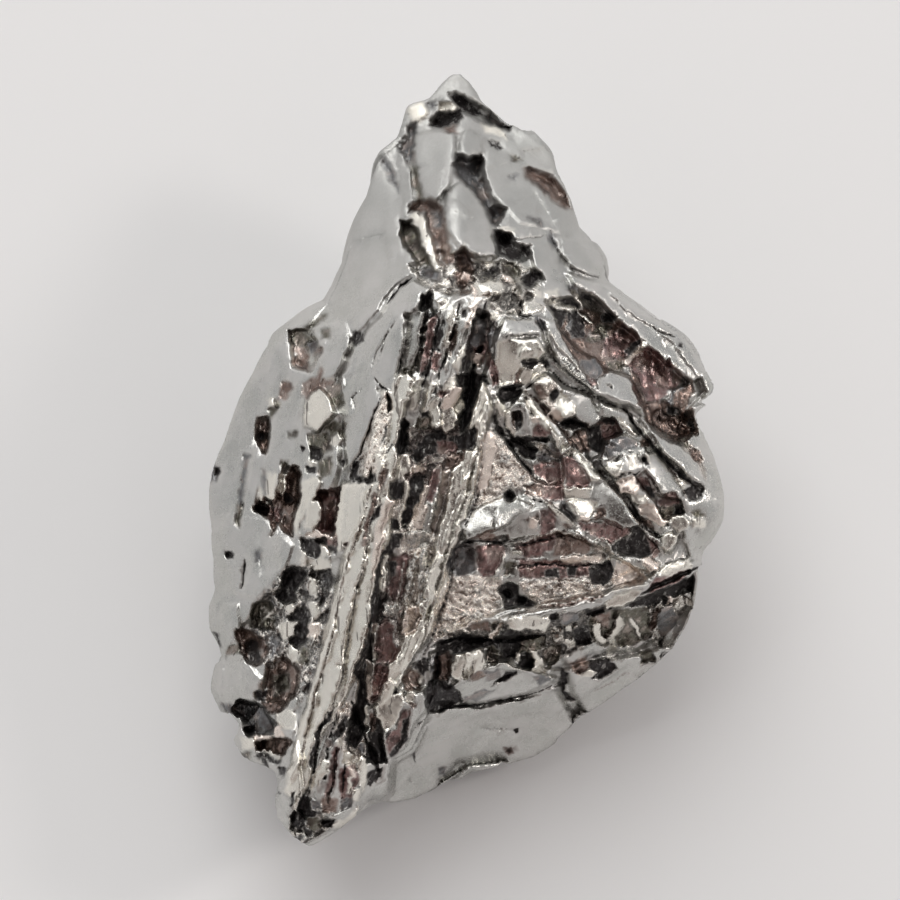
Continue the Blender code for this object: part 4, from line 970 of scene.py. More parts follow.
# %% Dents on the tail
DENTS["tail"] = [
    ("oxide_and_shade", 0.35, "430 118, 437 113, 448 110, 456 104, 462 108, 462 116, 456 122, 446 127, 434 126, "
                    "428 124"),
    ("oxide_and_shade", 0.25, "451 91, 460 93, 468 98, 478 104, 482 112, 474 113, 464 110, 458 106, 452 98"),
    ("grey", 0.25, "484 112, 494 111, 504 115, 511 122, 510 128, 500 122, 488 120"),
    ("brown", 0.15, "444 126, 454 121, 456 130, 450 133, 444 131"),
    ("grey", 0.10, "426 99, 434 99, 434 106, 428 107"),
    ("grey", 0.30, "407 124, 413 120, 416 130, 414 142, 412 158, 408 164, 405 152, 398 147, 399 141, "
                   "406 136"),
    ("brown", 0.08, "412 150, 418 152, 425 158, 422 162, 414 160"),
    ("olive", 0.20, "410 164, 416 166, 420 182, 422 196, 424 200, 419 203, 415 194, 412 180"),
    ("grey", 0.14, "381 154, 388 160, 394 172, 398 186, 399 192, 393 185, 386 172, 382 163"),
    ("grey", 0.40, "452 160, 459 153, 468 156, 481 151, 482 162, 478 176, 486 181, 488 190, 493 204, "
                   "506 209, 504 216, 497 226, 492 222, 488 208, 480 200, 474 190, 462 180, 454 172"),
    ("oxide_and_shade", 0.16, "488 139, 498 141, 504 146, 498 149, 491 146"),
    ("olive", 0.12, "510 152, 516 154, 524 160, 516 160, 511 157"),
    ("brown", 0.25, "526 168, 536 169, 552 174, 560 186, 572 196, 574 206, 566 207, 556 201, 546 193, "
                    "538 184, 528 178"),
    ("grey", 0.05, "511 174, 518 174, 516 180, 511 178"),
    ("grey", 0.06, "463 211, 469 211, 469 216, 463 217"),
    ("brown", 0.28, "410 203, 420 200, 436 201, 441 206, 446 224, 448 244, 451 252, 462 257, 470 262, "
                    "470 270, 456 266, 444 266, 440 254, 434 240, 428 226, 426 213, 416 211, 410 209"),
    ("grey", 0.12, "432 211, 442 213, 442 226, 434 227"),
    ("olive", 0.28, "402 222, 412 221, 418 228, 420 240, 425 250, 432 262, 431 272, 424 268, 414 258, "
                    "406 248, 402 236"),
    ("grey", 0.15, "418 268, 432 266, 442 271, 440 283, 424 280, 417 274"),
    ("oxide_and_shade", 0.35, "495 230, 512 232, 515 244, 520 250, 524 247, 526 256, 516 262, 504 256, 496 248"),
    ("oxide_and_shade", 0.15, "520 246, 532 246, 530 254, 522 258"),
    ("olive", 0.18, "501 262, 518 262, 520 276, 512 280, 502 270"),
    ("oxide_and_shade", 0.18, "484 270, 500 263, 499 271, 488 277, 480 274"),
    ("oxide_and_shade", 0.22, "520 277, 530 272, 540 273, 545 281, 537 280, 530 290, 524 286"),
    ("brown", 0.20, "452 270, 458 252, 466 250, 474 268, 473 280, 464 290, 455 284"),
    ("grey", 0.04, "549 231, 556 234, 560 247, 554 248, 548 240"),
    ("grey", 0.04, "528 217, 538 220, 542 227, 534 223"),
    ("oxide_and_shade", 0.14, "556 300, 570 298, 586 307, 576 312, 560 306"),
    ("grey", 0.04, "564 281, 584 288, 582 292, 566 288"),
    ("oxide_and_shade", 0.15, "580 291, 591 294, 594 306, 584 300"),
]
print(len(DENTS["tail"]), "dents on the tail")

# %% Dents left of the crest
DENTS["left crest"] = [
    ("oxide_and_shade", 0.30, "402 422, 407 430, 405 450, 399 457, 397 447, 400 432"),
    ("oxide_and_shade", 0.22, "391 482, 403 483, 404 495, 398 500, 390 498"),
    ("oxide_and_shade", 0.20, "408 496, 415 500, 412 520, 404 529, 400 522, 404 508"),
    ("oxide_and_shade", 0.15, "390 518, 397 520, 400 532, 393 528"),
    ("brown", 0.08, "383 466, 389 470, 386 486, 379 492, 379 480"),
    ("brown", 0.08, "375 492, 379 494, 374 514, 368 532, 364 546, 360 544, 366 520"),
    ("oxide_and_shade", 0.10, "378 505, 382 503, 378 516, 370 525, 372 517"),
    ("oxide_and_shade", 0.28, "350 474, 357 463, 362 458, 358 472, 355 478, 348 479"),
    ("oxide_and_shade", 0.28, "355 478, 369 478, 372 466, 374 476, 371 482, 360 482"),
    ("oxide_and_shade", 0.10, "342 460, 347 458, 345 468, 342 470"),
    ("oxide_and_shade", 0.06, "347 496, 356 488, 357 490, 348 498"),
    ("oxide_and_shade", 0.06, "386 451, 393 443, 394 445, 387 453"),
    ("oxide_and_shade", 0.08, "386 425, 389 422, 384 440, 380 448"),
]
print(len(DENTS["left crest"]), "dents left of the crest")

# %% [markdown]
# ## Bright flakes
# Small flat flakes stand on the plates and in the dents, and each mirrors another part of the room. They
# are laid last, so each one is flat whatever lies under it. Each has its tone, a rise, the way that it
# slopes down and how steeply, and an outline. The pale tone on them is partly a paler metal and partly a
# painted highlight, and the rose tone is a painted reflection.

# %% An empty list of flakes for each region
FLAKES = {}

# %% Flakes on the crest
FLAKES["crest"] = [
    ("bare", 0.08, 190, 0.14, "406 314, 426 311, 420 345, 411 372, 402 368, 403 340"),
    ("pale", 0.12, 190, 0.4, "428 404, 438 400, 440 424, 432 428"),
    ("pale", 0.10, 20, 0.4, "456 392, 463 386, 464 410, 458 424, 452 420"),
    ("purple", 0.05, 10, 0.2, "429 318, 439 314, 434 342, 426 372, 419 374, 424 346"),
    ("grey", 0.06, 20, 0.3, "472 322, 486 318, 486 342, 478 350, 470 346"),
    ("rose", 0.10, 20, 0.5, "470 284, 490 283, 491 296, 472 298"),
    ("pale", 0.10, 180, 0.4, "450 312, 458 308, 455 322, 448 346, 445 352, 444 340"),
    ("pale", 0.12, 20, 0.4, "465 343, 468 348, 463 360, 458 370, 451 366, 458 355"),
    ("rose", 0.20, 200, 0.5, "478 292, 484 290, 478 303, 474 316, 468 330, 464 326, 470 308"),
    ("pale", 0.10, 30, 0.5, "446 380, 455 374, 459 384, 450 388, 443 392"),
    ("pale", 0.10, 200, 0.5, "431 382, 438 384, 433 392, 430 400, 428 412, 421 413, 424 398"),
    ("rose", 0.10, 60, 0.6, "452 386, 462 388, 458 402, 450 412, 440 410, 444 398"),
    ("pale", 0.12, 190, 0.5, "400 378, 408 374, 414 380, 413 394, 406 402, 396 398, 396 386"),
    ("pale", 0.08, 10, 0.4, "416 378, 424 378, 420 394, 415 412, 409 410, 412 394"),
    ("pale", 0.12, 190, 0.3, "442 412, 452 406, 458 414, 455 430, 446 434, 442 426"),
    ("pale", 0.14, 20, 0.4, "495 396, 500 402, 511 411, 503 419, 495 408"),
    ("rose", 0.08, 60, 0.5, "476 352, 484 358, 480 366, 474 362"),
    ("grey", 0.06, 10, 0.3, "489 326, 496 330, 492 350, 488 352"),
    ("pale", 0.08, 40, 0.4, "436 302, 448 300, 446 308, 438 312"),
    ("pale", 0.10, 40, 0.4, "489 314, 498 312, 498 320, 490 324"),
]
print(len(FLAKES["crest"]), "flakes on the crest")

# %% Flakes in the channel
FLAKES["channel"] = [
    ("pale", 0.10, 80, 0.6, "432 459, 443 457, 442 461, 431 464"),
    ("rose", 0.04, 20, 0.3, "441 472, 450 468, 449 486, 442 504, 437 530, 433 530, 438 500"),
    ("pale", 0.06, 10, 0.2, "452 470, 464 458, 460 490, 450 520, 441 556, 438 550, 444 510"),
    ("rough", 0.22, 190, 0.5, "409 560, 416 552, 419 556, 414 580, 406 604, 402 600"),
    ("rough", 0.24, 20, 0.5, "421 548, 428 546, 428 572, 424 600, 418 606, 420 576"),
    ("rough", 0.14, 20, 0.5, "386 602, 400 606, 398 618, 384 616"),
    ("rose", 0.08, 200, 0.5, "415 505, 424 498, 428 506, 424 528, 414 530, 412 518"),
    ("rough", 0.10, 80, 0.5, "404 534, 420 530, 432 534, 430 546, 408 550"),
    ("rose", 0.06, 190, 0.4, "410 466, 420 462, 428 468, 414 474"),
    ("rose", 0.10, 190, 0.5, "426 484, 430 486, 427 500, 421 508, 420 500"),
    ("rose", 0.08, 20, 0.3, "480 442, 490 430, 498 438, 494 466, 488 486, 476 494, 479 468"),
    ("pale", 0.12, 190, 0.4, "383 552, 388 553, 387 578, 384 598, 380 586, 384 570"),
    ("rose", 0.06, 30, 0.5, "404 606, 418 604, 420 616, 414 632, 402 634"),
    ("pale", 0.12, 20, 0.5, "374 622, 378 623, 376 640, 377 660, 373 660"),
    ("rose", 0.16, 190, 0.5, "367 658, 373 662, 371 690, 370 702, 366 697, 365 676"),
    ("pale", 0.10, 20, 0.5, "366 702, 369 704, 369 728, 366 730"),
    ("pale", 0.10, 80, 0.5, "388 662, 398 660, 402 672, 396 682, 388 676"),
    ("pale", 0.10, 200, 0.4, "384 700, 396 692, 404 690, 404 706, 396 722, 385 730, 376 716, 374 706"),
    ("pale", 0.10, 100, 0.6, "408 690, 417 691, 414 700, 407 700"),
    ("pale", 0.10, 0, 0.5, "420 672, 424 676, 422 684, 419 682"),
    ("grey", 0.10, 300, 0.3, "428 656, 436 654, 437 668, 431 672"),
    ("grey", 0.08, 40, 0.5, "357 744, 364 742, 363 750, 357 752"),
]
print(len(FLAKES["channel"]), "flakes in the channel")

# %% Flakes in the shoulder's hollow
FLAKES["shoulder hollow"] = [
    ("rose", 0.10, 250, 0.4, "587 333, 597 331, 600 335, 590 338"),
    ("pale", 0.15, 250, 0.4, "580 314, 587 315, 593 322, 588 323"),
    ("grey", 0.10, 60, 0.4, "566 328, 572 318, 573 322, 568 331"),
    ("rose", 0.15, 250, 0.2, "641 346, 646 349, 634 362, 624 367, 624 361"),
    ("pale", 0.15, 250, 0.6, "643 341, 648 342, 648 347, 643 346"),
    ("pale", 0.12, 40, 0.6, "672 363, 677 364, 678 369, 673 368"),
    ("grey", 0.06, 60, 0.4, "578 362, 594 360, 604 370, 596 378, 584 372"),
    ("grey", 0.12, 200, 0.5, "668 402, 675 389, 684 384, 686 387, 676 394, 671 406"),
]
print(len(FLAKES["shoulder hollow"]), "flakes in the shoulder's hollow")

# %% Flakes on the blocks
FLAKES["blocks"] = [
    ("pale", 0.12, 30, 0.5, "526 368, 540 362, 548 371, 532 380"),
    ("pale", 0.10, 200, 0.4, "524 303, 534 302, 545 308, 536 314, 526 314"),
    ("pale", 0.08, 100, 0.6, "521 351, 530 349, 536 354, 526 358, 520 362"),
    ("pale", 0.06, 150, 0.5, "522 369, 533 368, 532 378, 524 386, 518 380"),
    ("pale", 0.12, 260, 0.5, "534 378, 545 375, 553 382, 546 388, 536 384"),
    ("pale", 0.16, 210, 0.6, "560 393, 568 398, 576 408, 572 416, 560 418, 553 408"),
    ("rose", 0.10, 100, 0.6, "551 408, 560 412, 564 420, 554 422, 548 414"),
    ("pale", 0.10, 200, 0.4, "524 397, 532 400, 546 416, 556 430, 549 432, 536 418, 526 406"),
    ("pale", 0.08, 30, 0.5, "548 426, 556 432, 570 449, 562 452, 554 442"),
    ("rose", 0.08, 100, 0.6, "532 416, 540 418, 542 424, 534 424"),
    ("pale", 0.06, 60, 0.4, "506 412, 511 410, 510 424, 516 434, 510 434, 504 424"),
    ("pale", 0.08, 250, 0.4, "570 452, 581 450, 590 464, 600 480, 592 482, 582 466, 573 457"),
    ("pale", 0.06, 80, 0.6, "535 446, 545 446, 541 452, 536 451"),
    ("pale", 0.05, 80, 0.6, "550 454, 558 456, 560 459, 552 458"),
    ("grey", 0.05, 80, 0.5, "546 465, 554 466, 553 469, 546 468"),
    ("rose", 0.06, 100, 0.5, "528 490, 537 491, 538 497, 530 496"),
    ("pale", 0.12, 100, 0.5, "563 489, 576 487, 590 489, 588 498, 572 500, 563 497"),
    ("pale", 0.10, 60, 0.4, "545 502, 556 508, 566 516, 576 525, 572 528, 562 520, 548 508"),
    ("pale", 0.08, 300, 0.4, "566 501, 590 500, 598 504, 592 516, 586 520, 576 514"),
    ("rose", 0.12, 20, 0.5, "577 514, 586 517, 588 521, 578 521"),
    ("rose", 0.08, 100, 0.6, "530 518, 538 520, 536 528, 530 527"),
    ("rose", 0.10, 240, 0.5, "616 480, 632 476, 640 486, 636 494, 622 494"),
    ("pale", 0.10, 260, 0.5, "630 494, 644 494, 650 498, 640 504, 630 500"),
    ("rose", 0.08, 240, 0.3, "638 504, 654 504, 668 522, 664 526, 650 520, 640 512"),
    ("pale", 0.10, 220, 0.5, "606 462, 622 460, 622 472, 614 476, 606 470"),
    ("grey", 0.02, 20, 0.4, "604 446, 612 438, 624 436, 638 442, 638 448, 622 450, 606 456"),
    ("pale", 0.04, 20, 0.4, "626 456, 637 452, 638 466, 628 470"),
    ("pale", 0.12, 30, 0.6, "646 452, 650 456, 652 464, 648 462"),
    ("pale", 0.10, 30, 0.6, "676 476, 683 480, 686 488, 680 489"),
    ("pale", 0.14, 200, 0.5, "670 518, 684 514, 690 524, 680 534, 672 530"),
    ("pale", 0.10, 340, 0.5, "692 518, 706 518, 704 526, 692 528"),
    ("pale", 0.10, 200, 0.4, "618 418, 630 424, 636 436, 622 430"),
]
print(len(FLAKES["blocks"]), "flakes on the blocks")

# %% Flakes in the recess
FLAKES["recess"] = [
    ("pale", 0.12, 100, 0.6, "513 551, 520 551, 521 555, 513 556"),
    ("rose", 0.12, 80, 0.6, "560 558, 586 556, 601 555, 601 561, 562 563"),
    ("pale", 0.12, 20, 0.3, "508 619, 520 617, 549 614, 549 622, 543 630, 530 628, 516 631, 506 628"),
    ("rose", 0.10, 200, 0.5, "488 638, 494 628, 502 622, 500 630, 493 640"),
    ("pale", 0.12, 220, 0.4, "612 598, 630 590, 640 590, 634 600, 622 606, 606 610, 605 603"),
    ("pale", 0.10, 250, 0.2, "655 575, 668 563, 690 557, 691 569, 668 578"),
    ("pale", 0.18, 200, 0.6, "660 538, 668 533, 678 537, 674 547, 666 552, 660 546"),
    ("rose", 0.15, 260, 0.4, "642 558, 650 555, 660 562, 658 570, 650 574, 644 566"),
    ("pale", 0.25, 190, 0.4, "593 624, 600 623, 602 634, 607 643, 600 647, 594 636"),
    ("pale", 0.25, 20, 0.4, "619 616, 625 620, 622 632, 614 638, 609 637, 616 628"),
    ("pale", 0.25, 190, 0.4, "629 617, 636 622, 640 633, 644 641, 637 637, 631 626"),
    ("pale", 0.15, 80, 0.4, "607 640, 616 636, 618 650, 610 652"),
    ("pale", 0.15, 100, 0.5, "565 624, 573 624, 572 632, 566 632"),
    ("grey", 0.10, 60, 0.4, "560 613, 578 612, 580 622, 562 626"),
    ("pale", 0.15, 60, 0.5, "565 640, 574 638, 577 647, 570 650"),
    ("pale", 0.12, 60, 0.5, "541 621, 548 620, 546 632, 542 632"),
    ("rose", 0.15, 200, 0.6, "667 597, 672 596, 673 604, 668 604"),
    ("pale", 0.15, 30, 0.6, "676 602, 682 604, 681 609, 675 607"),
    ("grey", 0.12, 60, 0.4, "658 612, 672 606, 680 620, 676 634, 664 639, 656 630"),
]
print(len(FLAKES["recess"]), "flakes in the recess")

# %% Flakes on the belly
FLAKES["belly"] = [
    ("pale", 0.20, 200, 0.5, "450 663, 456 655, 464 653, 463 680, 455 681, 450 674"),
    ("pale", 0.22, 100, 0.5, "464 653, 472 650, 474 676, 464 681"),
    ("pale", 0.20, 330, 0.5, "472 650, 480 648, 487 662, 484 667, 475 673"),
    ("pale", 0.15, 260, 0.6, "516 652, 519 652, 521 663, 517 663"),
    ("pale", 0.15, 250, 0.5, "530 652, 536 651, 543 664, 547 671, 532 671, 534 662"),
    ("grey", 0.04, 60, 0.2, "482 690, 495 689, 478 699, 462 703, 466 697"),
    ("pale", 0.10, 250, 0.5, "580 675, 590 670, 598 674, 592 679, 582 678"),
]
print(len(FLAKES["belly"]), "flakes on the belly")

# %% Flakes on the nose
FLAKES["nose"] = [
    ("pale", 0.10, 200, 0.4, "322 758, 330 762, 326 773, 318 784, 310 790, 312 777"),
    ("rose", 0.12, 20, 0.5, "350 768, 356 768, 355 777, 350 777"),
    ("pale", 0.10, 20, 0.5, "348 778, 352 776, 351 792, 346 792"),
    ("pale", 0.12, 340, 0.4, "360 750, 366 757, 367 774, 364 793, 358 784"),
    ("pale", 0.10, 60, 0.5, "352 790, 361 790, 358 801, 352 800"),
    ("grey", 0.08, 60, 0.4, "311 798, 321 798, 320 808, 311 808"),
    ("pale", 0.10, 200, 0.5, "293 806, 298 796, 300 800, 296 809"),
    ("olive", 0.08, 60, 0.4, "306 816, 318 816, 322 826, 314 832, 306 824"),
    ("pale", 0.10, 80, 0.5, "332 825, 342 820, 350 813, 357 806, 354 817, 344 825, 334 829"),
    ("grey", 0.06, 20, 0.5, "325 738, 332 736, 334 744, 327 748"),
    ("pale", 0.08, 20, 0.5, "338 738, 343 738, 341 748, 337 748"),
    ("pale", 0.08, 60, 0.5, "344 752, 353 752, 352 760, 345 761"),
]
print(len(FLAKES["nose"]), "flakes on the nose")

# %% Flakes on the left flank
FLAKES["flank"] = [
    ("pale", 0.15, 250, 0.6, "267 398, 273 398, 274 406, 268 407"),
    ("pale", 0.10, 190, 0.2, "304 402, 318 390, 326 394, 332 414, 319 430, 303 424"),
    ("pale", 0.12, 80, 0.6, "308 460, 314 460, 318 466, 311 466"),
    ("pale", 0.10, 190, 0.3, "266 472, 276 474, 276 490, 274 500, 266 500, 264 488"),
    ("pale", 0.10, 190, 0.5, "258 487, 262 488, 263 501, 258 501"),
    ("pale", 0.14, 190, 0.4, "279 476, 286 474, 287 490, 282 498, 278 490"),
    ("pale", 0.12, 190, 0.3, "302 482, 320 478, 318 492, 308 508, 298 536, 293 524, 300 500"),
    ("pale", 0.10, 20, 0.4, "309 502, 320 500, 324 508, 320 520, 312 528, 305 528"),
    ("rose", 0.12, 80, 0.4, "305 537, 314 530, 330 534, 336 539, 318 538"),
    ("pale", 0.14, 80, 0.5, "300 550, 306 552, 306 566, 300 566"),
    ("pale", 0.14, 30, 0.5, "320 545, 328 546, 330 556, 322 556"),
    ("pale", 0.10, 80, 0.3, "306 560, 322 558, 332 562, 330 568, 312 570"),
    ("pale", 0.12, 60, 0.5, "310 576, 317 580, 318 594, 310 594"),
    ("pale", 0.14, 60, 0.5, "286 604, 297 605, 294 613, 288 613"),
    ("pale", 0.14, 200, 0.4, "262 610, 271 610, 271 619, 263 620"),
    ("pale", 0.16, 200, 0.4, "278 622, 288 620, 298 624, 296 634, 284 640, 278 632"),
    ("pale", 0.12, 20, 0.4, "308 602, 320 600, 320 616, 312 620"),
    ("rose", 0.12, 20, 0.5, "310 622, 320 622, 320 640, 308 636"),
    ("pale", 0.12, 20, 0.4, "284 648, 294 644, 300 656, 300 664, 292 662"),
    ("pale", 0.10, 340, 0.3, "274 712, 290 706, 298 716, 294 728, 282 728"),
    ("pale", 0.12, 200, 0.4, "240 738, 254 738, 256 748, 244 750"),
    ("pale", 0.08, 100, 0.4, "258 750, 270 751, 284 758, 280 759, 268 754"),
    ("rose", 0.10, 80, 0.5, "252 735, 272 737, 270 740, 254 740"),
    ("rose", 0.08, 340, 0.4, "274 728, 280 724, 284 736, 276 738"),
    ("grey", 0.05, 60, 0.3, "308 340, 318 340, 318 350, 309 352"),
]
print(len(FLAKES["flank"]), "flakes on the left flank")

# %% Flakes on the tail
FLAKES["tail"] = [
    ("pale", 0.12, 20, 0.3, "410 212, 418 211, 426 220, 428 232, 434 246, 439 262, 438 270, 434 270, "
                            "430 256, 422 242, 418 228, 412 220"),
    ("pale", 0.08, 200, 0.2, "410 104, 420 98, 426 104, 428 112, 418 122, 410 118"),
    ("bare", 0.14, 190, 0.08, "418 134, 428 130, 448 130, 455 134, 454 150, 450 170, 446 190, 436 198, "
                              "425 192, 419 176, 414 156"),
    ("bare", 0.16, 300, 0.15, "460 132, 468 128, 476 132, 485 138, 484 149, 470 155, 461 150"),
    ("pale", 0.08, 200, 0.3, "438 101, 452 101, 457 105, 454 110, 446 110, 439 108"),
    ("pale", 0.12, 270, 0.6, "500 228, 512 228, 516 232, 508 232"),
    ("pale", 0.12, 260, 0.3, "482 122, 496 122, 506 130, 508 137, 498 134, 486 130"),
    ("bare", 0.18, 350, 0.08, "446 200, 454 186, 462 182, 474 192, 482 204, 487 218, 490 230, 495 246, "
                              "497 256, 486 258, 470 250, 458 246, 449 234, 445 216"),
    ("pale", 0.10, 200, 0.4, "446 266, 456 264, 458 270, 450 276"),
    ("pale", 0.14, 250, 0.5, "482 264, 492 262, 496 266, 488 270"),
    ("rose", 0.12, 60, 0.4, "500 272, 510 276, 512 284, 504 282"),
    ("pale", 0.14, 240, 0.5, "474 285, 490 280, 500 282, 503 288, 500 297, 488 292, 478 297"),
    ("olive", 0.10, 60, 0.4, "516 284, 524 290, 522 300, 516 298"),
    ("pale", 0.12, 90, 0.5, "530 292, 541 291, 544 298, 532 297"),
    ("pale", 0.14, 260, 0.5, "544 291, 556 289, 560 296, 548 298"),
    ("pale", 0.12, 250, 0.4, "546 301, 562 302, 580 310, 572 314, 556 308"),
    ("pale", 0.10, 300, 0.4, "570 288, 580 296, 586 308, 580 306"),
]
print(len(FLAKES["tail"]), "flakes on the tail")

# %% Flakes left of the crest
FLAKES["left crest"] = [
    ("pale", 0.05, 200, 0.3, "398 459, 408 453, 409 466, 404 481, 399 480"),
    ("pale", 0.12, 20, 0.4, "406 480, 410 482, 407 500, 400 524, 396 520, 402 502"),
    ("rose", 0.10, 190, 0.3, "381 505, 388 498, 396 502, 390 514, 384 530, 380 560, 374 580, 371 560, "
                             "376 526"),
    ("pale", 0.08, 190, 0.2, "343 484, 370 484, 364 510, 356 530, 350 538, 340 552, 335 530, 340 500"),
    ("pale", 0.05, 200, 0.2, "331 440, 338 432, 342 440, 338 448, 331 446"),
]
print(len(FLAKES["left crest"]), "flakes left of the crest")

# %% [markdown]
# ## Rough breaks
# Where the metal broke across its grain, it splits into shards. Some stand proud and glint, the others sank;
# the sunk shards and the gaps round the proud ones get the black oxide tone, partly oxide and partly painted
# shade. Each zone is an outline with the size of its shards, how long they are for their width, the way that
# they point, the share that stands proud, the step between high and low, and its tone. In the material the
# rough zones also get painted glints and dark painted shade.

# %% Rough zones
SHARDS = {
    "rose strip": ("378 396, 386 394, 393 412, 382 440, 376 476, 358 478, 362 452, "
                   "371 420", 4.5, 1.5, 104, 0.80, 0.12, "rose"),
    "triangle": ("492 430, 502 440, 522 465, 540 482, 524 486, 508 490, 490 500, 474 506, 476 488, "
                 "484 460", 5, 1.5, 104, 0.60, 0.16, "rose"),
    "channel glitter": ("405 540, 430 536, 426 580, 418 612, 398 650, 388 690, 374 700, 378 664, 398 650, "
                        "403 612, 385 620, 386 602, 402 600", 4, 1.8, 104, 0.75, 0.12, "rose"),
    "channel top": ("404 428, 464 428, 452 466, 444 480, 408 486, "
                    "400 460", 7, 1.8, 100, 0.25, 0.22, "purple"),
    "channel speckle": ("400 486, 428 484, 424 540, 440 536, 432 556, 400 556, "
                        "390 520", 5, 2.0, 104, 0.60, 0.14, "rose"),
    "channel floor": ("396 556, 404 600, 396 650, 380 700, 366 700, 372 640, "
                      "386 580", 6, 2.5, 104, 0.20, 0.20, "purple"),
    "recess glitter": ("444 586, 456 576, 500 574, 502 604, 480 622, 436 642, "
                       "430 630", 5, 1.6, 10, 0.55, 0.16, "rose"),
    "strip glitter": ("520 582, 560 578, 612 576, 640 572, 600 592, "
                      "530 602", 4.5, 2.0, 350, 0.60, 0.16, "rose"),
    "loop glitter": ("560 556, 598 548, 606 560, 590 566, 560 564", 4, 1.5, 350, 0.6, 0.14, "rose"),
    "mid glitter": ("564 486, 588 487, 584 498, 566 497", 4, 1.5, 20, 0.6, 0.14, "rose"),
    "rose block glitter": ("530 384, 548 376, 560 388, 572 412, 560 420, "
                           "546 406", 4.5, 1.8, 50, 0.55, 0.16, "rose"),
    "slanted glitter": ("618 478, 632 476, 646 492, 640 500, 626 490", 4, 1.5, 50, 0.6, 0.16, "rose"),
    "flank crumbs": ("286 566, 330 560, 334 600, 322 640, 312 690, 300 700, 262 664, 250 628, "
                     "256 604", 7, 1.4, 100, 0.65, 0.20, "grey"),
    "tail root jumble": ("408 268, 440 262, 480 262, 520 262, 540 276, 536 300, 520 316, 494 312, 480 286, "
                         "440 296, 424 288", 9, 1.5, 120, 0.70, 0.26, "pale"),
    "sliver crumbs": ("420 412, 446 400, 466 392, 464 430, 420 430", 7, 1.6, 104, 0.50, 0.22, "grey"),
    "nose crumbs": ("340 702, 366 700, 366 750, 350 770, 336 730", 5, 2.0, 100, 0.45, 0.20, "rose"),
    "nose end crumbs": ("294 800, 324 800, 334 826, 306 846, 290 830", 8, 1.3, 60, 0.50, 0.26, "olive"),
    "shelf crumbs": ("440 632, 560 612, 600 612, 600 640, 560 660, 500 662, "
                     "470 644", 8, 1.5, 60, 0.45, 0.28, "olive"),
    "corner crumbs": ("650 600, 698 580, 690 622, 672 648, 646 640", 9, 1.4, 60, 0.7, 0.22, "pale"),
    "hollow crumbs": ("640 400, 690 410, 694 436, 660 436", 9, 1.5, 45, 0.35, 0.28, "olive"),
    "bulge crumbs": ("682 440, 700 450, 706 478, 694 462", 7, 1.5, 60, 0.5, 0.22, "rose"),
}

# %% [markdown]
# ## Bright lips
# The last thing that the eye catches on torn metal is its lips: hair-thin bright lines where one plate
# broke away from the next. A dent only cuts down, so its rim would stay as dull as the plate. Each lip gets
# a narrow round ridge of its own, given as a line, half its width in pixels and its height in millimetres,
# and goes on last, over the dents. A real ridge catches the studio light from every side, which a painted
# line wouldn't do; each lip is also painted in the pale tone, a painted highlight along it.

# %% Bright lips
RIDGES = [
    (1.2, 0.12, "503 553, 507 545, 520 541, 540 535, 556 531, 572 534, 584 541, 593 549"),
    (1.3, 0.14, "594 549, 595 542, 602 539, 609 544, 611 552, 606 560"),
    (1.2, 0.12, "545 503, 560 512, 572 524, 577 533"),
    (1.2, 0.12, "613 553, 625 562, 640 573, 652 581"),
    (1.1, 0.10, "652 583, 630 588, 600 595, 560 603, 520 604"),
    (1.1, 0.12, "612 546, 625 537, 635 528"),
    (1.1, 0.12, "638 524, 648 534, 658 546, 662 552"),
    (1.1, 0.12, "556 425, 563 434, 560 444, 552 451, 545 447"),
    (2.2, 0.12, "566 455, 578 450, 590 462, 600 478"),
    (1.3, 0.12, "478 668, 490 664, 500 662, 512 668, 524 672, 536 668, 546 674, 556 680"),
    (1.5, 0.14, "504 552, 502 562, 494 574, 488 580"),
    (1.0, 0.10, "488 392, 486 420, 481 450, 474 480, 468 505"),
    (1.3, 0.16, "441 470, 436 500, 430 530"),
    (1.6, 0.14, "427 550, 430 575, 428 600, 420 625"),
    (1.4, 0.12, "416 556, 417 575, 412 596, 404 615"),
    (1.4, 0.12, "404 560, 400 585, 396 612, 390 622"),
    (1.0, 0.10, "600 398, 620 404, 636 420, 655 443, 678 467, 700 483"),
    (1.2, 0.12, "545 322, 556 342, 572 362, 592 380"),
    (1.2, 0.10, "540 330, 552 350, 568 368, 590 388"),
    (1.3, 0.12, "455 310, 450 340, 443 378"),
    (1.2, 0.10, "430 314, 424 344, 416 370"),
    (1.3, 0.14, "371 600, 368 620, 366 640"),
    (1.2, 0.14, "376 624, 375 645, 374 662"),
    (1.2, 0.12, "432 461, 424 466, 416 464, 411 458"),
    (1.2, 0.12, "398 530, 406 524, 410 530, 404 540"),
]
print(f"{len(RIDGES)} bright lips")

# %% [markdown]
# ## Height, tarnish and painted light of the drawn shapes
# All the shapes are added up into one height over the upper side, from the largest to the smallest, and
# their tones, tarnish and painted light alike, go into one field for each tone. Drawn lines look too clean on
# a torn stone, so the place at which they are read is first shaken a little, dents and flakes a second time,
# and the seams swell and thin along their way. Dents have steep rims where the stone is crisp, and softer
# rims on the worn flank and tail.

# %% Torn edges
TONES = ("oxide_and_shade", "brown", "purple", "olive", "grey", "rose", "pale", "rough")


def shaken(u, v):
    """Pixels of the reference view, moved a little, so that drawn edges look torn."""
    spots = np.column_stack([u, v, np.zeros(len(u))])
    shake_u = 1.3 * noise(spots / 15, 11) + 0.8 * noise(spots / 5, 13)
    shake_v = 1.3 * noise(spots / 15, 12) + 0.8 * noise(spots / 5, 14)
    return u + shake_u, v + shake_v


def swollen(u, v, seed):
    """Smooth noise over the reference view, for widths that vary."""
    return noise(np.column_stack([u, v, np.full(len(u), 7.3 * seed)]) / 8, 15)


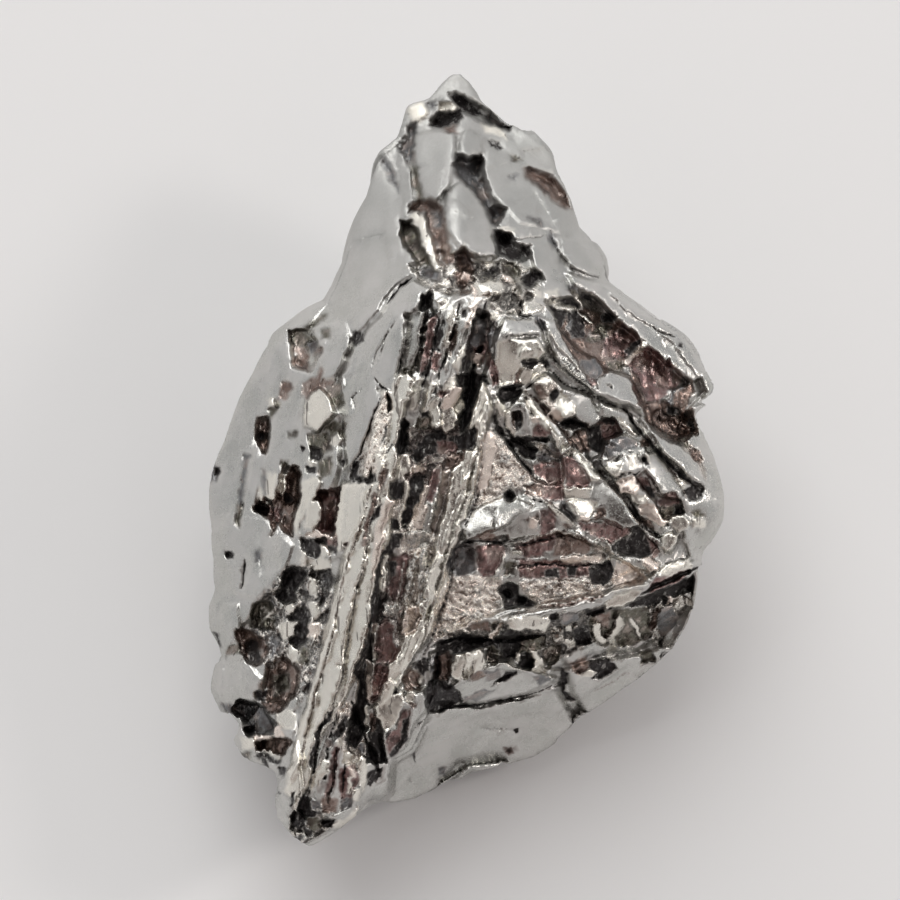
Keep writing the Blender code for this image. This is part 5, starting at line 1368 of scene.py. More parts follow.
def shards(u, v, size, stretch, way, seed):
    """Cells in the reference view: a number for each, its slope there, and the distance to the next."""
    way = math.radians(way)
    along = (u * math.cos(way) + v * math.sin(way)) / (size * stretch)
    across = (v * math.cos(way) - u * math.sin(way)) / size
    spots = np.column_stack([along, across, np.full(len(u), float(seed))])
    base = np.floor(spots)
    first = np.full(len(u), np.inf)
    second = np.full(len(u), np.inf)
    number = np.zeros(len(u))
    slope = np.zeros(len(u))
    for shift in np.ndindex(3, 3):
        cell = base + np.array([*shift, 1]) - 1
        away_along = along - cell[:, 0] - scattered(cell, seed, 0)
        away_across = across - cell[:, 1] - scattered(cell, seed, 1)
        distance = np.hypot(away_along, away_across)
        closer = distance < first
        second = np.where(closer, first, np.minimum(second, distance))
        number = np.where(closer, scattered(cell, seed, 2), number)
        tilt = (scattered(cell, seed, 3) - 0.5) * away_along + (scattered(cell, seed, 4) - 0.5) * away_across
        slope = np.where(closer, tilt, slope)
        first = np.minimum(first, distance)
    return number, slope, second - first


# %% A drawing of the upper side
def settled(height, close, inside):
    """The mean height under an outline."""
    return float((height[close] * inside).sum() / max(inside.sum(), 1))


class Drawing:
    """The upper side as it is drawn: each point's pixel, its height in millimetres and its tones of tarnish
    and painted light.
    """

    def __init__(self, u, v):
        self.u, self.v = u, v
        spots = np.column_stack([u, v, np.zeros(len(u))]) / 4
        self.torn_u, self.torn_v = u + 1.5 * noise(spots, 16), v + 1.5 * noise(spots, 17)
        self.height = np.zeros(len(u))
        self.tones = {name: np.zeros(len(u)) for name in TONES}

    def along(self, line, margin):
        """Which points lie near a line, their distance from it, their side and their share along it."""
        line = places(line)
        close = near(self.u, self.v, line, margin)
        return close, *line_distance(self.u[close], self.v[close], line)

    def swell(self, close, seed):
        return swollen(self.u[close], self.v[close], seed)

    def lay_tone(self, name, close, share):
        self.tones[name][close] = np.maximum(self.tones[name][close], share)

    def clear(self, close, share):
        for field in self.tones.values():
            field[close] *= 1 - share

    def lay_flat(self, at_u, at_v, outline, rise, way, slope, edge, kinds):
        """A flat plate that slopes down one way. Its outline is read at the given pixels."""
        corners = places(outline)
        close = near(at_u, at_v, corners, edge)
        inside = patch(at_u[close], at_v[close], corners, edge)
        middle = np.mean(corners, axis=0)
        turn = math.radians(way)
        down = (self.u[close] - middle[0]) * math.cos(turn) + (self.v[close] - middle[1]) * math.sin(turn)
        flat = settled(self.height, close, inside) + rise - slope * down * MM_PER_PIXEL
        self.height[close] += inside * (flat - self.height[close])
        self.clear(close, inside)
        for kind in kinds:
            self.lay_tone(kind, close, inside)


# %% Draw the large shapes
def draw_large_shapes(drawing):
    for outline, depth, edge in HOLLOWS.values():
        add_patch(drawing.height, drawing.u, drawing.v, places(outline), -depth, edge)
    for line, half_width, depth in CRACKS.values():
        close, distance, _, _ = drawing.along(line, half_width)
        drawing.height[close] -= depth * (1 - smooth_step(0.2, 1, distance / half_width))
    for outline, rise, edge, *tone in RAISED.values():
        corners = places(outline)
        add_patch(drawing.height, drawing.u, drawing.v, corners, rise, edge)
        if tone:
            close = near(drawing.u, drawing.v, corners, edge)
            drawing.lay_tone(tone[0], close, patch(drawing.u[close], drawing.v[close], corners, edge))


# %% Draw the rough zones
ROUGH_EDGE = 6


def draw_rough_zones(drawing):
    for seed, (outline, size, stretch, way, proud, step, tone) in enumerate(SHARDS.values()):
        corners = places(outline)
        close = near(drawing.u, drawing.v, corners, ROUGH_EDGE)
        u, v = drawing.u[close], drawing.v[close]
        zone = patch(u, v, corners, ROUGH_EDGE)
        number, slope, gap = shards(u, v, size, stretch, way, 30 + seed)
        high = number < proud
        step = 0.5 * step if tone == "rose" else step
        between = smooth_step(0.03, 0.22, gap)
        broken = np.where(high, step * (0.5 - number) + 2.2 * step * slope, -step) * between
        drawing.height[close] += zone * (broken - 0.5 * step * (1 - between))
        drawing.lay_tone("rough", close, zone)
        # Sunk shards and the gaps round the proud ones get the black tone: partly oxide, partly painted
        # shade.
        black = 0.25 if tone == "rose" else 0.8
        dark = np.where(high, 0.8 * (1 - between), 0.35 + 0.65 * number)
        drawing.lay_tone("oxide_and_shade", close, black * zone * dark)
        if tone in TONES:
            drawing.lay_tone(tone, close, zone * np.where(high, number / proud, 0.6))


# %% Draw the sheets and small plates
def draw_sheets(drawing):
    for seed, (line, half_width, left, right) in enumerate(SHEETS.values()):
        close, distance, side, share = drawing.along(line, half_width + 2)
        half = half_width * np.clip(5 * np.minimum(share, 1 - share), 0.15, 1) ** 0.5
        half = half * (1 + 0.25 * drawing.swell(close, seed))
        inside = 1 - smooth_step(half - 1, half + 1, distance)
        uneven = 1 + 0.4 * swollen(drawing.u[close] * 0.6, drawing.v[close] * 0.6, seed + 50)
        lean = (right - left) / 2 * side * distance / half_width
        drawing.height[close] += inside * uneven * ((left + right) / 2 + lean)


def draw_small_plates(drawing):
    for outline, rise, way, slope, edge, *tone in FACETS.values():
        drawing.lay_flat(drawing.u, drawing.v, outline, rise, way, slope, edge, tone)


# %% Draw the dents
DENT_EDGE = {"tail": 7, "flank": 5}
CRISP_DENT_EDGE = 2.6


def draw_dents(drawing):
    number, slope, _ = shards(drawing.u, drawing.v, 6, 1.8, 104, 90)
    grit = 0.05 * (number - 0.5) + 0.12 * slope
    for region, dents in DENTS.items():
        edge = DENT_EDGE.get(region, CRISP_DENT_EDGE)
        for tone, depth, outline in dents:
            corners = places(outline)
            close = near(drawing.torn_u, drawing.torn_v, corners, edge)
            inside = patch(drawing.torn_u[close], drawing.torn_v[close], corners, edge)
            floor = settled(drawing.height, close, inside)
            levelled = 0.5 * inside * (floor - drawing.height[close])
            drawing.height[close] += levelled + inside * (grit[close] - depth)
            drawing.clear(close, inside)
            drawing.lay_tone(tone, close, inside)


# %% Draw the seams and pits
BLACK_DEPTH_MM = 0.2


def draw_seams(drawing):
    for seed, (line, half_width, depth, *tone) in enumerate(SEAMS.values()):
        close, distance, _, share = drawing.along(line, half_width * 1.5)
        taper = 0.35 + 0.65 * np.minimum(1, 5 * np.minimum(share, 1 - share))
        wide = half_width * taper * np.clip(0.72 + 0.6 * drawing.swell(close, seed + 100), 0.15, 1.2)
        inside = 1 - smooth_step(0.25, 1, distance / wide)
        drawing.height[close] -= depth * taper * inside
        # A seam is painted black unless it has another tone: partly oxide and partly painted shade in the
        # groove.
        drawing.lay_tone(tone[0] if tone else "oxide_and_shade", close, inside * min(1, depth / BLACK_DEPTH_MM))


def draw_pits(drawing):
    for at_u, at_v, radius, depth in PITS:
        close = near(drawing.u, drawing.v, [(at_u, at_v)], radius)
        distance = np.hypot(drawing.u[close] - at_u, drawing.v[close] - at_v)
        inside = 1 - smooth_step(0.3, 1, distance / radius)
        drawing.height[close] -= depth * inside
        drawing.lay_tone("oxide_and_shade", close, inside * min(1, depth / BLACK_DEPTH_MM))


# %% Draw the flakes and bright lips
FLAKE_EDGE = {"tail": 5, "flank": 4}
CRISP_FLAKE_EDGE = 2.2


def draw_flakes(drawing):
    for region, flakes in FLAKES.items():
        edge = FLAKE_EDGE.get(region, CRISP_FLAKE_EDGE)
        for tone, rise, way, slope, outline in flakes:
            kinds = [tone] if tone in TONES else []
            drawing.lay_flat(drawing.torn_u, drawing.torn_v, outline, rise, way, slope, edge, kinds)


def draw_lips(drawing):
    for seed, (half_width, rise, line) in enumerate(RIDGES):
        close, distance, _, share = drawing.along(line, half_width * 1.5)
        taper = 0.3 + 0.7 * np.minimum(1, 5 * np.minimum(share, 1 - share))
        wide = half_width * taper * np.clip(0.9 + 0.6 * drawing.swell(close, seed + 200), 0.3, 1.4)
        inside = 1 - smooth_step(0.15, 1, distance / wide)
        drawing.height[close] += rise * taper * inside
        drawing.clear(close, inside)
        # Each lip is also painted in the pale tone, a painted highlight.
        drawing.lay_tone("pale", close, 0.8 * inside)


# %% Add up the upper side
DRAWN_IN_ORDER = (draw_large_shapes, draw_rough_zones, draw_sheets, draw_small_plates, draw_dents, draw_seams,
                  draw_pits, draw_flakes, draw_lips)


def upper_side(u, v):
    """Height of everything drawn on the upper side, in millimetres, and the fields of its tones of tarnish
    and painted light.
    """
    drawing = Drawing(u, v)
    for draw in DRAWN_IN_ORDER:
        draw(drawing)
    return drawing.height, drawing.tones


print(len(DRAWN_IN_ORDER), "kinds of shape go on one after another")

# %% [markdown]
# ## The underside
# Nobody sees the stone's underside in the reference view. It gets what such stones have there: thumb-shaped
# hollows and long plates that follow the same grain.

# %% Underside shapes
UNDER_HOLLOWS = [
    (286, 430, 62, 34, 75, 0.75),
    (640, 430, 56, 36, 110, 0.70),
    (400, 215, 48, 30, 80, 0.60),
    (505, 190, 44, 26, 100, 0.55),
    (300, 640, 52, 34, 60, 0.70),
    (655, 560, 44, 28, 120, 0.55),
    (340, 760, 34, 22, 60, 0.45),
    (600, 300, 40, 26, 45, 0.55),
]
UNDER_PLATES = [
    ([(348, 340), (312, 410), (290, 520)], 14, 0.34),
    ([(352, 330), (326, 440), (306, 560)], 11, 0.30),
    ([(600, 360), (590, 470), (560, 600)], 15, 0.38),
    ([(470, 130), (462, 220), (448, 300)], 13, 0.34),
    ([(690, 440), (684, 520), (660, 620)], 14, 0.34),
    ([(380, 700), (350, 770), (318, 820)], 13, 0.30),
]


def lower_relief(u, v):
    """Height of the thumb-shaped hollows and long plates underneath, in millimetres."""
    height = np.zeros(len(u))
    for middle_u, middle_v, half_length, half_width, turn, depth in UNDER_HOLLOWS:
        turn = math.radians(turn)
        along = (u - middle_u) * math.cos(turn) + (v - middle_v) * math.sin(turn)
        beside = (v - middle_v) * math.cos(turn) - (u - middle_u) * math.sin(turn)
        height -= depth * (1 - smooth_step(0.3, 1.0, np.hypot(along / half_length, beside / half_width)))
    for line, half_width, rise in UNDER_PLATES:
        distance = line_distance(u, v, line)[0]
        height += rise * (1 - smooth_step(0.7 * half_width, half_width, distance))
    return height


# %% [markdown]
# ## Moving the skin
# A displace modifier moves each point along its normal. On steep sides that would smear what is drawn in
# the view, so the points are moved in code: towards the viewer where the skin faces up, and along the
# normal lower down. Three kinds of relief add up: the torn plates, the drawn shapes, and a fine swell with
# a ripple along the grain.

# %% Move the skin
UPPER_PLATE_SHARE, LOWER_PLATE_SHARE = 0.22, 1.6
LOWER_SEAM_MM = 0.10
BROAD_SWELL_MM, SMALL_SWELL_MM = 0.06, 0.018
GRAIN_RIPPLE_MM = 0.018
RIPPLE_WIDTH_MM, RIPPLE_LENGTH_MM = 0.11, 2.2


def shaped(points, normals):
    """The skin of the lump moved in and out along the plates, the hollows and the cracks, and its tones of
    tarnish and painted light.
    """
    u, v = shaken(*seen_from_above(points))
    viewer = view_axes()[2]
    facing = normals @ viewer
    above = smooth_step(-0.10, 0.25, facing)
    open_side = smooth_step(0.0, 0.5, facing)
    steps, gap = plates(points, 3, PLATE_SIZE_MM, PLATE_STRETCH, PLATE_STEP_MM, PLATE_TILT)
    seam = 1 - smooth_step(0.02, 0.12, gap)
    across, along, out = (points @ grain_axes().T).T
    wander = noise(points / 1.8, 21)
    rows = [across / RIPPLE_WIDTH_MM + 1.5 * wander, along / RIPPLE_LENGTH_MM, out / RIPPLE_WIDTH_MM]
    ripple = noise(np.column_stack(rows), 22)
    swell = BROAD_SWELL_MM * noise(points / 1.3, 23) + SMALL_SWELL_MM * noise(points / 0.45, 25)
    fine = swell + GRAIN_RIPPLE_MM * ripple * smooth_step(-0.2, 0.6, noise(points / 3.0, 24))
    drawn, tones = upper_side(u, v)
    height = above * UPPER_PLATE_SHARE * steps + open_side * drawn
    below = LOWER_PLATE_SHARE * steps - LOWER_SEAM_MM * seam + lower_relief(u, v)
    height = height + (1 - above) * below + fine
    pull = smooth_step(0.10, 0.50, facing)[:, None]
    way = normals * (1 - pull) + viewer * pull
    way = way / np.linalg.norm(way, axis=1)[:, None]
    return points + way * height[:, None], {name: field * above for name, field in tones.items()}


def set_attribute(name, values):
    """Keeps a share for each point on the mesh, where the material can read it."""
    attribute = skin.data.attributes.new(name, "FLOAT", "POINT")
    attribute.data.foreach_set("value", np.asarray(values, np.float32))
    print(name, "covers", round(float(np.mean(values > 0.5)) * 100, 1), "% of the skin")


points, tones = shaped(points_of(skin.data), normals_of(skin.data))
crest = placed(np.array(MIDDLE_U), np.array(CREST_V), np.array(0.0))
points[:, 2] += CREST_HEIGHT_MM - crest[2]
points[:, 2] = np.maximum(points[:, 2], 0)
shift = -(points.min(0) + points.max(0)) / 2
points[:, :2] += shift[:2]
points = np.clip(points * METRES_PER_MM, cad_low, cad_high)
move_to(skin.data, points)
print("the skin measures", np.round((points.max(0) - points.min(0)) * 1000, 2), "mm")
for name, field in tones.items():
    set_attribute(name, field)
SEAT_MM = np.array([shift[0], shift[1], CREST_HEIGHT_MM - crest[2]])

# %% [markdown]
# ## Fewer triangles, spent where they show
# The voxel skin has far more triangles than flat plates need. Decimate joins those that lie in one plane,
# so the crisp edges keep theirs. The first pass has a vertex group, outside of which Decimate joins
# nothing, so it saves on the underside alone, which rests on the ground. The second pass goes over the
# whole skin.

# %% Thin the mesh
MOST_TRIANGLES = 197000
UNDERSIDE_SAVED = 0.75
FLAT_ON_GROUND_M = 0.00002


def triangle_count():
    return sum(len(face.vertices) - 2 for face in skin.data.polygons)


triangles = triangle_count()
underside = skin.vertex_groups.new(name="underside")
down = np.flatnonzero(normals_of(skin.data) @ view_axes()[2] < -0.15)
underside.add(down.tolist(), 1.0, "REPLACE")
kept_share = 1 - UNDERSIDE_SAVED * len(down) / len(skin.data.vertices)
apply_modifier(skin, "DECIMATE", ratio=kept_share, vertex_group="underside")
skin.vertex_groups.clear()
print("after the first pass", triangle_count(), "triangles")
apply_modifier(skin, "DECIMATE", ratio=min(1, MOST_TRIANGLES / triangle_count()))
points = points_of(skin.data)
points[points[:, 2] < FLAT_ON_GROUND_M, 2] = 0
move_to(skin.data, np.clip(points, cad_low, cad_high))
skin.data.shade_smooth()
print("the skin has", triangle_count(), "triangles, down from", triangles)

# %% [markdown]
# ## What the metal remembers
# The tones of tarnish and painted light are already on the mesh, as one float attribute for each tone, and
# Decimate kept them. One more is measured from the finished shape: a point that lies below the average of its
# neighbours is in a hollow, where the material lays oxide and painted shade.

# %% Measure hollows
edges = np.empty(len(skin.data.edges) * 2, dtype=np.int32)
skin.data.edges.foreach_get("vertices", edges)
edges = edges.reshape(-1, 2)
neighbours = np.bincount(edges.ravel(), minlength=len(points))


def averaged(values, rounds):
    """Each value mixed with its neighbours' mean, this many times."""
    for _ in range(rounds):
        total = np.bincount(edges[:, 0], values[edges[:, 1]], len(values))
        total += np.bincount(edges[:, 1], values[edges[:, 0]], len(values))
        values = 0.4 * values + 0.6 * total / neighbours
    return values


def depth_below(rounds):
    """How far each point lies below its smoothed surroundings, in millimetres."""
    points = points_of(skin.data) * 1000
    normals = normals_of(skin.data)
    even = np.column_stack([averaged(points[:, k], rounds) for k in range(3)])
    broad = np.column_stack([averaged(normals[:, k], rounds) for k in range(3)])
    return ((even - points) * broad).sum(1)


narrow = depth_below(8)
wide = depth_below(60)
set_attribute("hollow", np.maximum(smooth_step(0.02, 0.09, narrow), smooth_step(0.08, 0.34, wide)))

# %% [markdown]
# ## Nickel-iron
# Polished nickel-iron is a warm grey metal. A Principled BSDF with Metallic at 1 does the mirror part. The
# rest is in what changes over it: a satin sheen with fine scratches along the grain on the plates, tiny
# pits, oxide in the hollows that is dark and dull and partly painted shade, tarnish that colours the mirror,
# and painted highlights, reflections and shade in the drawn tones. The patterns read Object coordinates, so
# they stay on the stone when it is moved.

# %% Material helpers
metal = bpy.data.materials.new("nickel_iron_polished")
metal.use_nodes = True
nodes, links = metal.node_tree.nodes, metal.node_tree.links
shader = nodes["Principled BSDF"]


def add_node(kind, **settings):
    node = nodes.new("ShaderNode" + kind)
    for name, value in settings.items():
        setattr(node, name, value)
    return node


def attribute(name):
    return add_node("Attribute", attribute_name=name).outputs["Fac"]


def math_node(operation, first, second, clamp=False):
    node = add_node("Math", operation=operation, use_clamp=clamp)
    for socket, value in zip(node.inputs, (first, second)):
        if isinstance(value, (int, float)):
            socket.default_value = value
        else:
            links.new(value, socket)
    return node.outputs["Value"]


def times(first, second):
    return math_node("MULTIPLY", first, second)


def plus(first, second):
    return math_node("ADD", first, second)


def mixed(share, first, second):
    """A colour between two others; each is a socket or three numbers."""
    node = add_node("Mix", data_type="RGBA")
    factor, one, two = (node.inputs[k] for k in (0, 6, 7))
    for socket, value in ((factor, share), (one, first), (two, second)):
        if isinstance(value, tuple):
            socket.default_value = (*value, 1)
        elif isinstance(value, (int, float)):
            socket.default_value = value
        else:
            links.new(value, socket)
    return node.outputs[2]


def ranged(value, low, high, to_low=0.0, to_high=1.0):
    node = add_node("MapRange", interpolation_type="SMOOTHSTEP")
    links.new(value, node.inputs["Value"])
    for name, number in (("From Min", low), ("From Max", high), ("To Min", to_low), ("To Max", to_high)):
        node.inputs[name].default_value = number
    return node.outputs["Result"]


# %% Patterns on the metal
where = add_node("TexCoord").outputs["Object"]
place_parts = add_node("SeparateXYZ")
links.new(where, place_parts.inputs["Vector"])


def along_grain(length_share):
    """Object coordinates turned to the grain, with a pattern's spots drawn out along it."""
    side = grain_axes()[0]
    node = add_node("Mapping")
    links.new(where, node.inputs["Vector"])
    node.inputs["Rotation"].default_value = (0, 0, -math.atan2(side[1], side[0]))
    node.inputs["Scale"].default_value = (1, length_share, 1)
    return node.outputs["Vector"]


def noise_of(scale, detail, roughness, vector=where):
    node = add_node("TexNoise")
    links.new(vector, node.inputs["Vector"])
    for name, number in (("Scale", scale), ("Detail", detail), ("Roughness", roughness)):
        node.inputs[name].default_value = number
    return node.outputs["Fac"]


grain, streak = along_grain(0.06), along_grain(0.35)
cloud = noise_of(900, 3, 0.6)
haze = noise_of(1500, 2, 0.5)
shine = noise_of(4600, 5, 0.7)
fleck = noise_of(5200, 4, 0.62, streak)
dash = noise_of(5000, 2, 0.5, grain)
speck = noise_of(9000, 4, 0.7)
scratch = noise_of(22000, 3, 0.7, grain)
dust = noise_of(30000, 2, 0.6)

# %% [markdown]
# ## The colour of the metal, with painted highlights
# Clean nickel-iron is a grey that changes softly from plate to plate. The pale tone, on the crest plates, the
# knob face, flakes, lips and two rough zones, is partly a paler metal and partly a painted highlight, with
# short dark dashes along the grain. Towards the tail the metal turns a darker grey and rougher.

# %% The metal, its painted highlights and the darker tail
PLATE_COOL, PLATE_WARM = (0.53, 0.53, 0.505), (0.63, 0.62, 0.60)
TAIL_FROM_Y, TAIL_TO_Y = 0.004, 0.009
TAIL_GREY, TAIL_GREY_SHARE = (0.44, 0.44, 0.43), 0.6
PALE_AND_HIGHLIGHT, PALE_DASH = (0.84, 0.81, 0.74), (0.13, 0.11, 0.10)

colour = mixed(ranged(cloud, 0.3, 0.7), PLATE_COOL, PLATE_WARM)
# Towards the tail the metal is mixed to a darker grey, and the same mask makes it rougher.
toward_tail = ranged(place_parts.outputs["Y"], TAIL_FROM_Y, TAIL_TO_Y)
colour = mixed(times(toward_tail, TAIL_GREY_SHARE), colour, TAIL_GREY)
# The pale tone is partly a paler metal and partly a painted highlight.
pale = attribute("pale")
colour = mixed(pale, colour, PALE_AND_HIGHLIGHT)
colour = mixed(times(pale, ranged(dash, 0.66, 0.70, 0.0, 0.75)), colour, PALE_DASH)

# %% [markdown]
# ## Tarnish and painted light
# Tarnish is a film of oxide so thin that it still mirrors, so it is a darker metal colour and not paint.
# Each drawn tone is mixed in by its attribute: brown, purple and olive are partly tarnish and partly painted
# shade, grey is painted shade, and rose is a painted pinkish reflection. A cloudy pattern then darkens and
# lightens the dark tones, and glints are painted over them. On the rough breaks a finer pattern paints bright
# glints beside dark brown shade.

# %% Tarnish and painted light
# Rose is a painted pinkish reflection, grey is painted shade, and olive, brown and purple are partly tarnish
# and partly painted shade.
TARNISH_AND_PAINTED_LIGHT = (("rose", (0.92, 0.81, 0.73)), ("olive", (0.135, 0.127, 0.10)), ("grey", (0.18, 0.18, 0.185)),
           ("brown", (0.23, 0.165, 0.14)), ("purple", (0.29, 0.185, 0.175)))

rough_mask = attribute("rough")
dark_tarnish_and_shade = math_node("MAXIMUM", math_node("MAXIMUM", attribute("olive"), attribute("grey")),
                       math_node("MAXIMUM", attribute("brown"), attribute("purple")))
# The first two rows darken and lighten the dark tones at random, the third paints glints on them, and the
# last two paint dark shade and bright glints on the rough breaks.
CLOUDING_AND_PAINTED_LIGHT = ((dark_tarnish_and_shade, ranged(haze, 0.34, 0.50, 0.75, 0.0), (0.07, 0.056, 0.052)),
            (dark_tarnish_and_shade, ranged(haze, 0.52, 0.72, 0.0, 0.55), (0.52, 0.44, 0.40)),
            (dark_tarnish_and_shade, ranged(fleck, 0.60, 0.68, 0.0, 0.45), (0.70, 0.61, 0.55)),
            (rough_mask, ranged(shine, 0.39, 0.45, 0.9, 0.0), (0.17, 0.12, 0.095)),
            (rough_mask, ranged(shine, 0.50, 0.56, 0.0, 0.9), (0.98, 0.93, 0.86)))
for name, tone in TARNISH_AND_PAINTED_LIGHT:
    colour = mixed(times(attribute(name), ranged(speck, 0.25, 0.6, 0.75, 1.0)), colour, tone)
for zone, pattern, tone in CLOUDING_AND_PAINTED_LIGHT:
    colour = mixed(times(zone, pattern), colour, tone)

# %% [markdown]
# ## Black oxide and painted shade
# In the deep dents and cracks the oxide is thick and black, so there it is half a mirror and half a dull
# crust; this black is partly oxide and partly painted shade, darker than the grooves make it by themselves.
# Hollows that nobody drew get a thinner, browner film, partly oxide and partly painted shade in the recesses,
# less of it where another tone is already drawn. Where a fine pattern runs high, less black is laid, so paler
# spots show through as painted glints.

# %% Oxide and painted shade
THIN_OXIDE_AND_SHADE, BLACK_OXIDE_AND_SHADE = (0.10, 0.082, 0.074), (0.030, 0.026, 0.026)

drawn_tones = math_node("MAXIMUM", math_node("MAXIMUM", rough_mask, dark_tarnish_and_shade), pale)
# Hollows get a thin dark film: partly oxide and partly painted shade in the recesses.
hollow_oxide_and_shade = times(attribute("hollow"), ranged(fleck, 0.40, 0.60, 0.75, 0.30))
hollow_oxide_and_shade = times(hollow_oxide_and_shade, math_node("SUBTRACT", 1.0, times(drawn_tones, 0.7)))
oxide_and_shade = attribute("oxide_and_shade")
oxide_and_shade_mask = ranged(plus(oxide_and_shade, times(oxide_and_shade, ranged(speck, 0.35, 0.65, -0.25, 0.25))), 0.14, 0.94)
# Where the fleck pattern is high, less black is laid, so paler spots show as painted glints.
oxide_and_shade_mask = times(oxide_and_shade_mask, ranged(fleck, 0.58, 0.66, 1.0, 0.45))
colour = mixed(hollow_oxide_and_shade, colour, THIN_OXIDE_AND_SHADE)
colour = mixed(oxide_and_shade_mask, colour, BLACK_OXIDE_AND_SHADE)
links.new(colour, shader.inputs["Base Color"])

# %% Metal and roughness
OXIDE_DULLS, OXIDE_ROUGHENS, TAIL_ROUGHENS, CRYSTALS_SMOOTH = 0.5, 0.12, 0.26, 0.08

links.new(math_node("SUBTRACT", 1.0, times(oxide_and_shade_mask, OXIDE_DULLS)), shader.inputs["Metallic"])
satin = plus(ranged(cloud, 0.3, 0.7, 0.20, 0.34), ranged(speck, 0.3, 0.7, -0.04, 0.08))
satin = plus(satin, times(oxide_and_shade_mask, OXIDE_ROUGHENS))
satin = plus(satin, times(toward_tail, TAIL_ROUGHENS))
satin = math_node("SUBTRACT", satin, times(rough_mask, CRYSTALS_SMOOTH), clamp=True)
links.new(satin, shader.inputs["Roughness"])

# %% [markdown]
# ## Fine bumps
# Scratches, specks and pits are finer than the mesh, so they are a bump of a hundredth of a millimetre.
# Black oxide and the rough breaks get the most.

# %% Fine bumps
BUMP_DISTANCE_M, BUMP_STRENGTH = 0.00001, 0.6
SPECK_HEIGHT, CRUST_HEIGHT, CRYSTAL_HEIGHT = 0.8, 9.0, 16.0

height = plus(scratch, ranged(dust, 0.58, 0.75, 0.0, -0.6))
height = plus(height, times(speck, SPECK_HEIGHT))
crusted = math_node("MAXIMUM", times(dark_tarnish_and_shade, 0.22), oxide_and_shade)
height = plus(height, times(times(fleck, crusted), CRUST_HEIGHT))
height = plus(height, times(times(shine, rough_mask), CRYSTAL_HEIGHT))
bump = add_node("Bump")
bump.inputs["Distance"].default_value = BUMP_DISTANCE_M
bump.inputs["Strength"].default_value = BUMP_STRENGTH
links.new(height, bump.inputs["Height"])
links.new(bump.outputs["Normal"], shader.inputs["Normal"])
skin.data.materials.clear()
skin.data.materials.append(metal)
print("the metal has", len(nodes), "nodes")

# %% [markdown]
# ## A pale table
# The stone lies on a plain pale table. It is large enough that no view sees its edge near the stone.

# %% Floor
bpy.ops.object.select_all(action="DESELECT")
bpy.ops.mesh.primitive_plane_add(size=1.2, location=(0, 0, 0))
table = bpy.context.object
table.name = table.data.name = "table"
paper = bpy.data.materials.new("pale_table")
paper.use_nodes = True
paper.node_tree.nodes["Principled BSDF"].inputs["Base Color"].default_value = (0.86, 0.86, 0.865, 1)
paper.node_tree.nodes["Principled BSDF"].inputs["Roughness"].default_value = 0.9
table.data.materials.append(paper)
table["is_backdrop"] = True
print("the table is", round(table.dimensions.x, 2), "m wide")

# %% [markdown]
# ## Light
# A mirror-like stone shows its surroundings more than itself. In a light tent all of it would be white, so
# real photographs of polished metal leave a dark opening where the camera looks in. The sky here does the
# same: pale all round, dark and warm round the camera's direction, and a little dimmer at the front. One
# big soft light from the back left gives the soft shadow.

# %% Sky with a dark opening
TO_CAMERA = view_axes()[2]
TO_FRONT = (0, -1, 0)
SKY = [(0.0, (0.62, 0.62, 0.64)), (0.45, (0.80, 0.80, 0.80)), (0.76, (0.76, 0.76, 0.75)),
       (0.89, (0.42, 0.39, 0.38)), (0.965, (0.11, 0.085, 0.08)), (1.0, (0.06, 0.045, 0.045))]
FRONT_DIM = (0.70, 0.62, 0.60, 1)
SKY_STRENGTH = 0.785

world = bpy.data.worlds.new("studio")
bpy.context.scene.world = world
world.use_nodes = True
sky = world.node_tree
direction = sky.nodes.new("ShaderNodeTexCoord").outputs["Generated"]


def nearness_to(way):
    """How near each direction of the sky is to one way: 1 there, 0 at right angles."""
    node = sky.nodes.new("ShaderNodeVectorMath")
    node.operation = "DOT_PRODUCT"
    sky.links.new(direction, node.inputs[0])
    node.inputs[1].default_value = way
    return node.outputs["Value"]


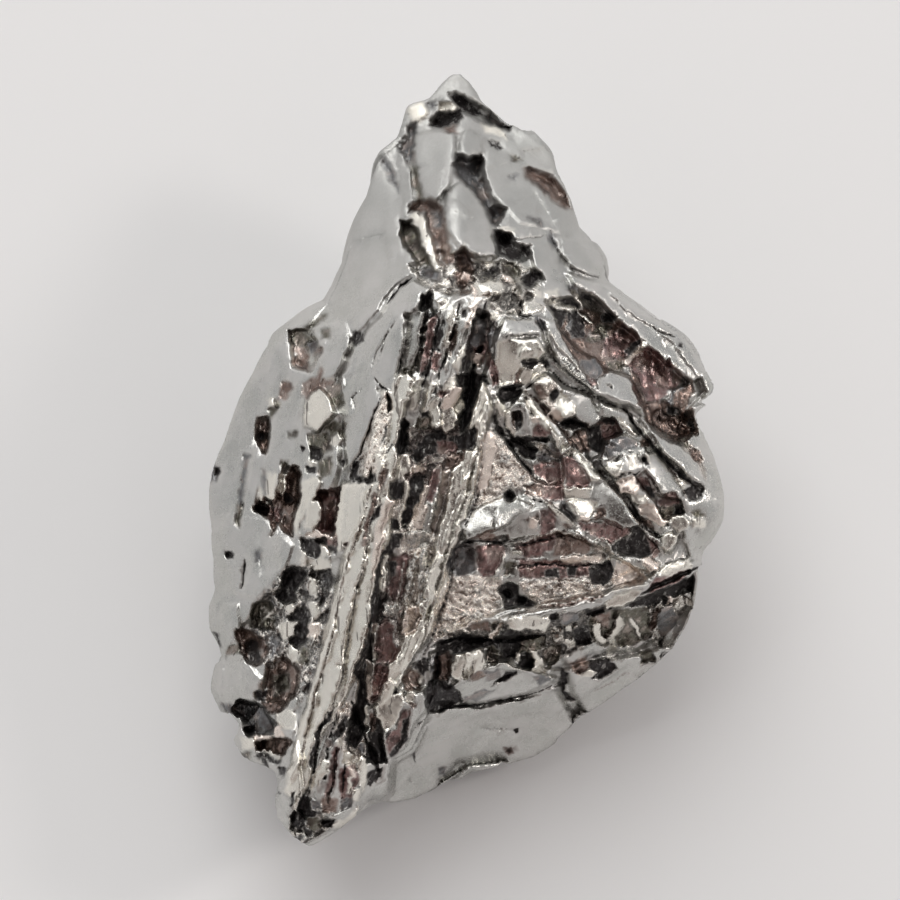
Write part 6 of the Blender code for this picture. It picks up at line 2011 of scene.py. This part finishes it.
ramp = sky.nodes.new("ShaderNodeValToRGB")
while len(ramp.color_ramp.elements) < len(SKY):
    ramp.color_ramp.elements.new(0.5)
for element, (at, tone) in zip(ramp.color_ramp.elements, SKY):
    element.position = at
    element.color = (*tone, 1)
sky.links.new(nearness_to(TO_CAMERA), ramp.inputs["Fac"])
dimmed = sky.nodes.new("ShaderNodeMix")
dimmed.data_type, dimmed.blend_type = "RGBA", "MULTIPLY"
sky.links.new(nearness_to(TO_FRONT), dimmed.inputs[0])
sky.links.new(ramp.outputs["Color"], dimmed.inputs[6])
dimmed.inputs[7].default_value = FRONT_DIM
background = sky.nodes["Background"]
sky.links.new(dimmed.outputs[2], background.inputs["Color"])
background.inputs["Strength"].default_value = SKY_STRENGTH
print("the sky has", len(SKY), "tones from behind the table to the camera")


# %% Soft lights
def soft_light(name, place, size, watts, tone):
    bpy.ops.object.light_add(type="AREA", location=place)
    light = bpy.context.object
    light.name = light.data.name = name
    light.data.shape = "SQUARE"
    light.data.size = size
    light.data.energy = watts
    light.data.color = tone
    away = np.array(place) / np.linalg.norm(place)
    light.rotation_euler = (math.acos(away[2]), 0, math.atan2(away[1], away[0]) + math.pi / 2)
    return light


soft_light("big_soft", (-0.10, 0.32, 0.32), 0.46, 1.36, (1.0, 0.99, 0.97))
soft_light("right_glint", (0.30, 0.06, 0.20), 0.07, 0.22, (1.0, 0.93, 0.88))
print("two lights stand round the table")

# %% [markdown]
# ## Camera
# The reference view is a close-up from half a metre, 75 degrees above the table, with a long lens. The
# camera looks at the point of the stone that lies in the middle of the picture.

# %% Camera
CAMERA_DISTANCE = 0.5
SENSOR_MM, PICTURE_PIXELS = 36, 900
aim = (placed(np.array(450.0), np.array(450.0), np.array(-2.5)) + SEAT_MM) * METRES_PER_MM
bpy.ops.object.camera_add(location=aim + TO_CAMERA * CAMERA_DISTANCE,
                          rotation=(math.pi / 2 - VIEW_ELEVATION, 0, 0))
camera = bpy.context.object
camera.data.sensor_width = SENSOR_MM
camera.data.lens = SENSOR_MM * CAMERA_DISTANCE * 1000 / (PICTURE_PIXELS * MM_PER_PIXEL)
camera.data.clip_start = 0.01
bpy.context.scene.camera = camera
bpy.context.scene.view_settings.view_transform = "Standard"
print("the lens is", round(camera.data.lens), "mm")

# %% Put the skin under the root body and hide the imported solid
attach(skin, "root")
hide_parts("meteorite")
